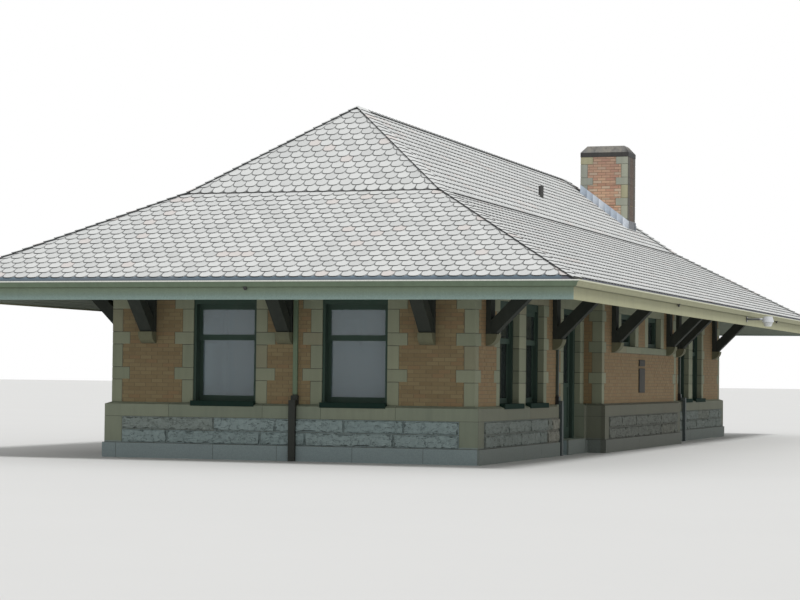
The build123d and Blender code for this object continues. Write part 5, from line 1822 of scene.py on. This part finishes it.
# The lens's bright colour is a painted glare
LENS_GLARE = Finish("lamp_lens", (0.75, 0.78, 0.78), (0.66, 0.69, 0.70), (0.55, 0.57, 0.58), roughness=0.2)
VENT = Finish("vent_paint", (0.03, 0.03, 0.03), (0.05, 0.05, 0.045), (0.06, 0.06, 0.05), roughness=0.6)
PLATE = Finish("grey_plate", (0.065, 0.062, 0.056), (0.040, 0.038, 0.034), (0.03, 0.03, 0.028), roughness=0.7,
               patch_scale=9.0, specular=0.2)
SILL = Finish("sill_paint", (0.015, 0.034, 0.027), (0.020, 0.040, 0.032), (0.030, 0.040, 0.034), roughness=0.85,
              specular=0.05)
KNOB = Finish("dull_brass", (0.12, 0.09, 0.045), (0.08, 0.06, 0.035), (0.05, 0.045, 0.03), roughness=0.4)
GLASS = Glazing("window_glass", (0.50, 0.62, 0.68))

# Each finish and the CAD nodes that take it
NODE_FINISHES = (
    (JOINTS, "end_stone_bases side_stone_bases bay_stone_bases quoins stone_jambs lintels bay_sill_bands "
             "chimney_quoins"),
    (MORTAR, "front_wall back_wall street_wall track_wall bay_walls end_upper_walls side_upper_walls "
             "bay_upper_walls chimney_stack"),
    (UNDERLAY, "side_lower_slopes end_lower_slopes track_upper_slope street_upper_slope end_upper_slopes"),
    (JOINERY, "window_frames window_sashes door_posts door_heads door_stops street_door track_door"),
    (TIMBER, "bracket_posts side_struts end_struts"), (GLASS, "window_glass street_door_glass"),
    (BASE, "door_thresholds"), (CORBEL, "corbels"), (SHINGLE, "hip_and_ridge_caps"), (SILL, "window_sills"),
    (BOARDS, "soffit"), (SIDE_BOARDS, "side_fascias"), (END_BOARDS_IN_SHADE, "end_fascias"), (SIDE_GUTTER, "side_gutters"),
    (END_GUTTER_IN_SHADE, "end_gutters"), (PIPE, "downspouts"), (LEAD, "chimney_flashing"), (SOOT_AND_SHADE, "chimney_cap"),
    (SLAB, "floor_slab"), (LAMP_PAINT_AND_GLINT, "yard_lamp"), (LENS_GLARE, "lamp_lens"), (VENT, "vent_pipe"),
)


def dress_nodes(frame: dict, made: dict[str, Material]) -> None:
    """Gives every CAD node its finish.

    Args:
        frame: The loaded frame.
        made: Finished materials by name.
    """
    finish_of = {name: finish.name for finish, names in NODE_FINISHES for name in names.split()}
    for name, node in frame["nodes"].items():
        for slot in node.material_slots:
            slot.material = made[finish_of[name]]


def main() -> None:
    """Builds the station's looks around its frame."""
    logging.basicConfig(level=logging.INFO)
    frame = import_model()
    made = {finish.name: finish.material() for finish in (
        *(finish for finish, _ in NODE_FINISHES), STONE, ROCK, SPALL, BRICK, STACK_BRICK, STACK_STONE, PLANK, APRON,
        SHEETS, PLATE, KNOB)}
    dress_nodes(frame, made)
    Studio().build()
    dressings = Dressings()
    dressings.build(made["limestone"])
    bricks = Brickwork(dressings)
    tree = brick_tree()
    up = (WALL_FOOT, WALL_TOP)
    bay_up = (WALL_FOOT, BAY_WALL_TOP)
    for side, name in ((Side.FRONT, "front_bricks"), (Side.BACK, "back_bricks")):
        bricks.build(name, [(side, (-HALF, HALF), up)], made["buff_brick"], tree)
    for side, bay, name in ((Side.STREET, Side.STREET_BAY, "street_bricks"),
                            (Side.TRACK, Side.TRACK_BAY, "track_bricks")):
        sign = 1 if side is Side.STREET else -1
        returns = tuple(sorted((sign * HALF, sign * BAY_FACE)))
        bricks.build(name, [
            (side, (0.0, BAY_START), up), (side, (BAY_END, LENGTH), up), (bay, (BAY_START, BAY_END), bay_up),
            (Side.NEAR_RETURN, returns, bay_up), (Side.FAR_RETURN, returns, bay_up)], made["buff_brick"], tree)
    Chimney(dressings).build(made["chimney_stone"], made["chimney_brick"], made["flashing_sheets"], bricks, tree)
    StoneBase().build(made["base_stone"], made["rock_face"], made["spalled_stone"])
    courses = course_tree()
    ShingleRoof().build(made["scalloped_shingles"], made["eave_apron"], courses)
    SoffitBoards().build(courses, made["soffit_boards"])
    Fittings().build(made["grey_plate"], made["vent_paint"], made["dull_brass"])


if __name__ == "__main__":
    main()
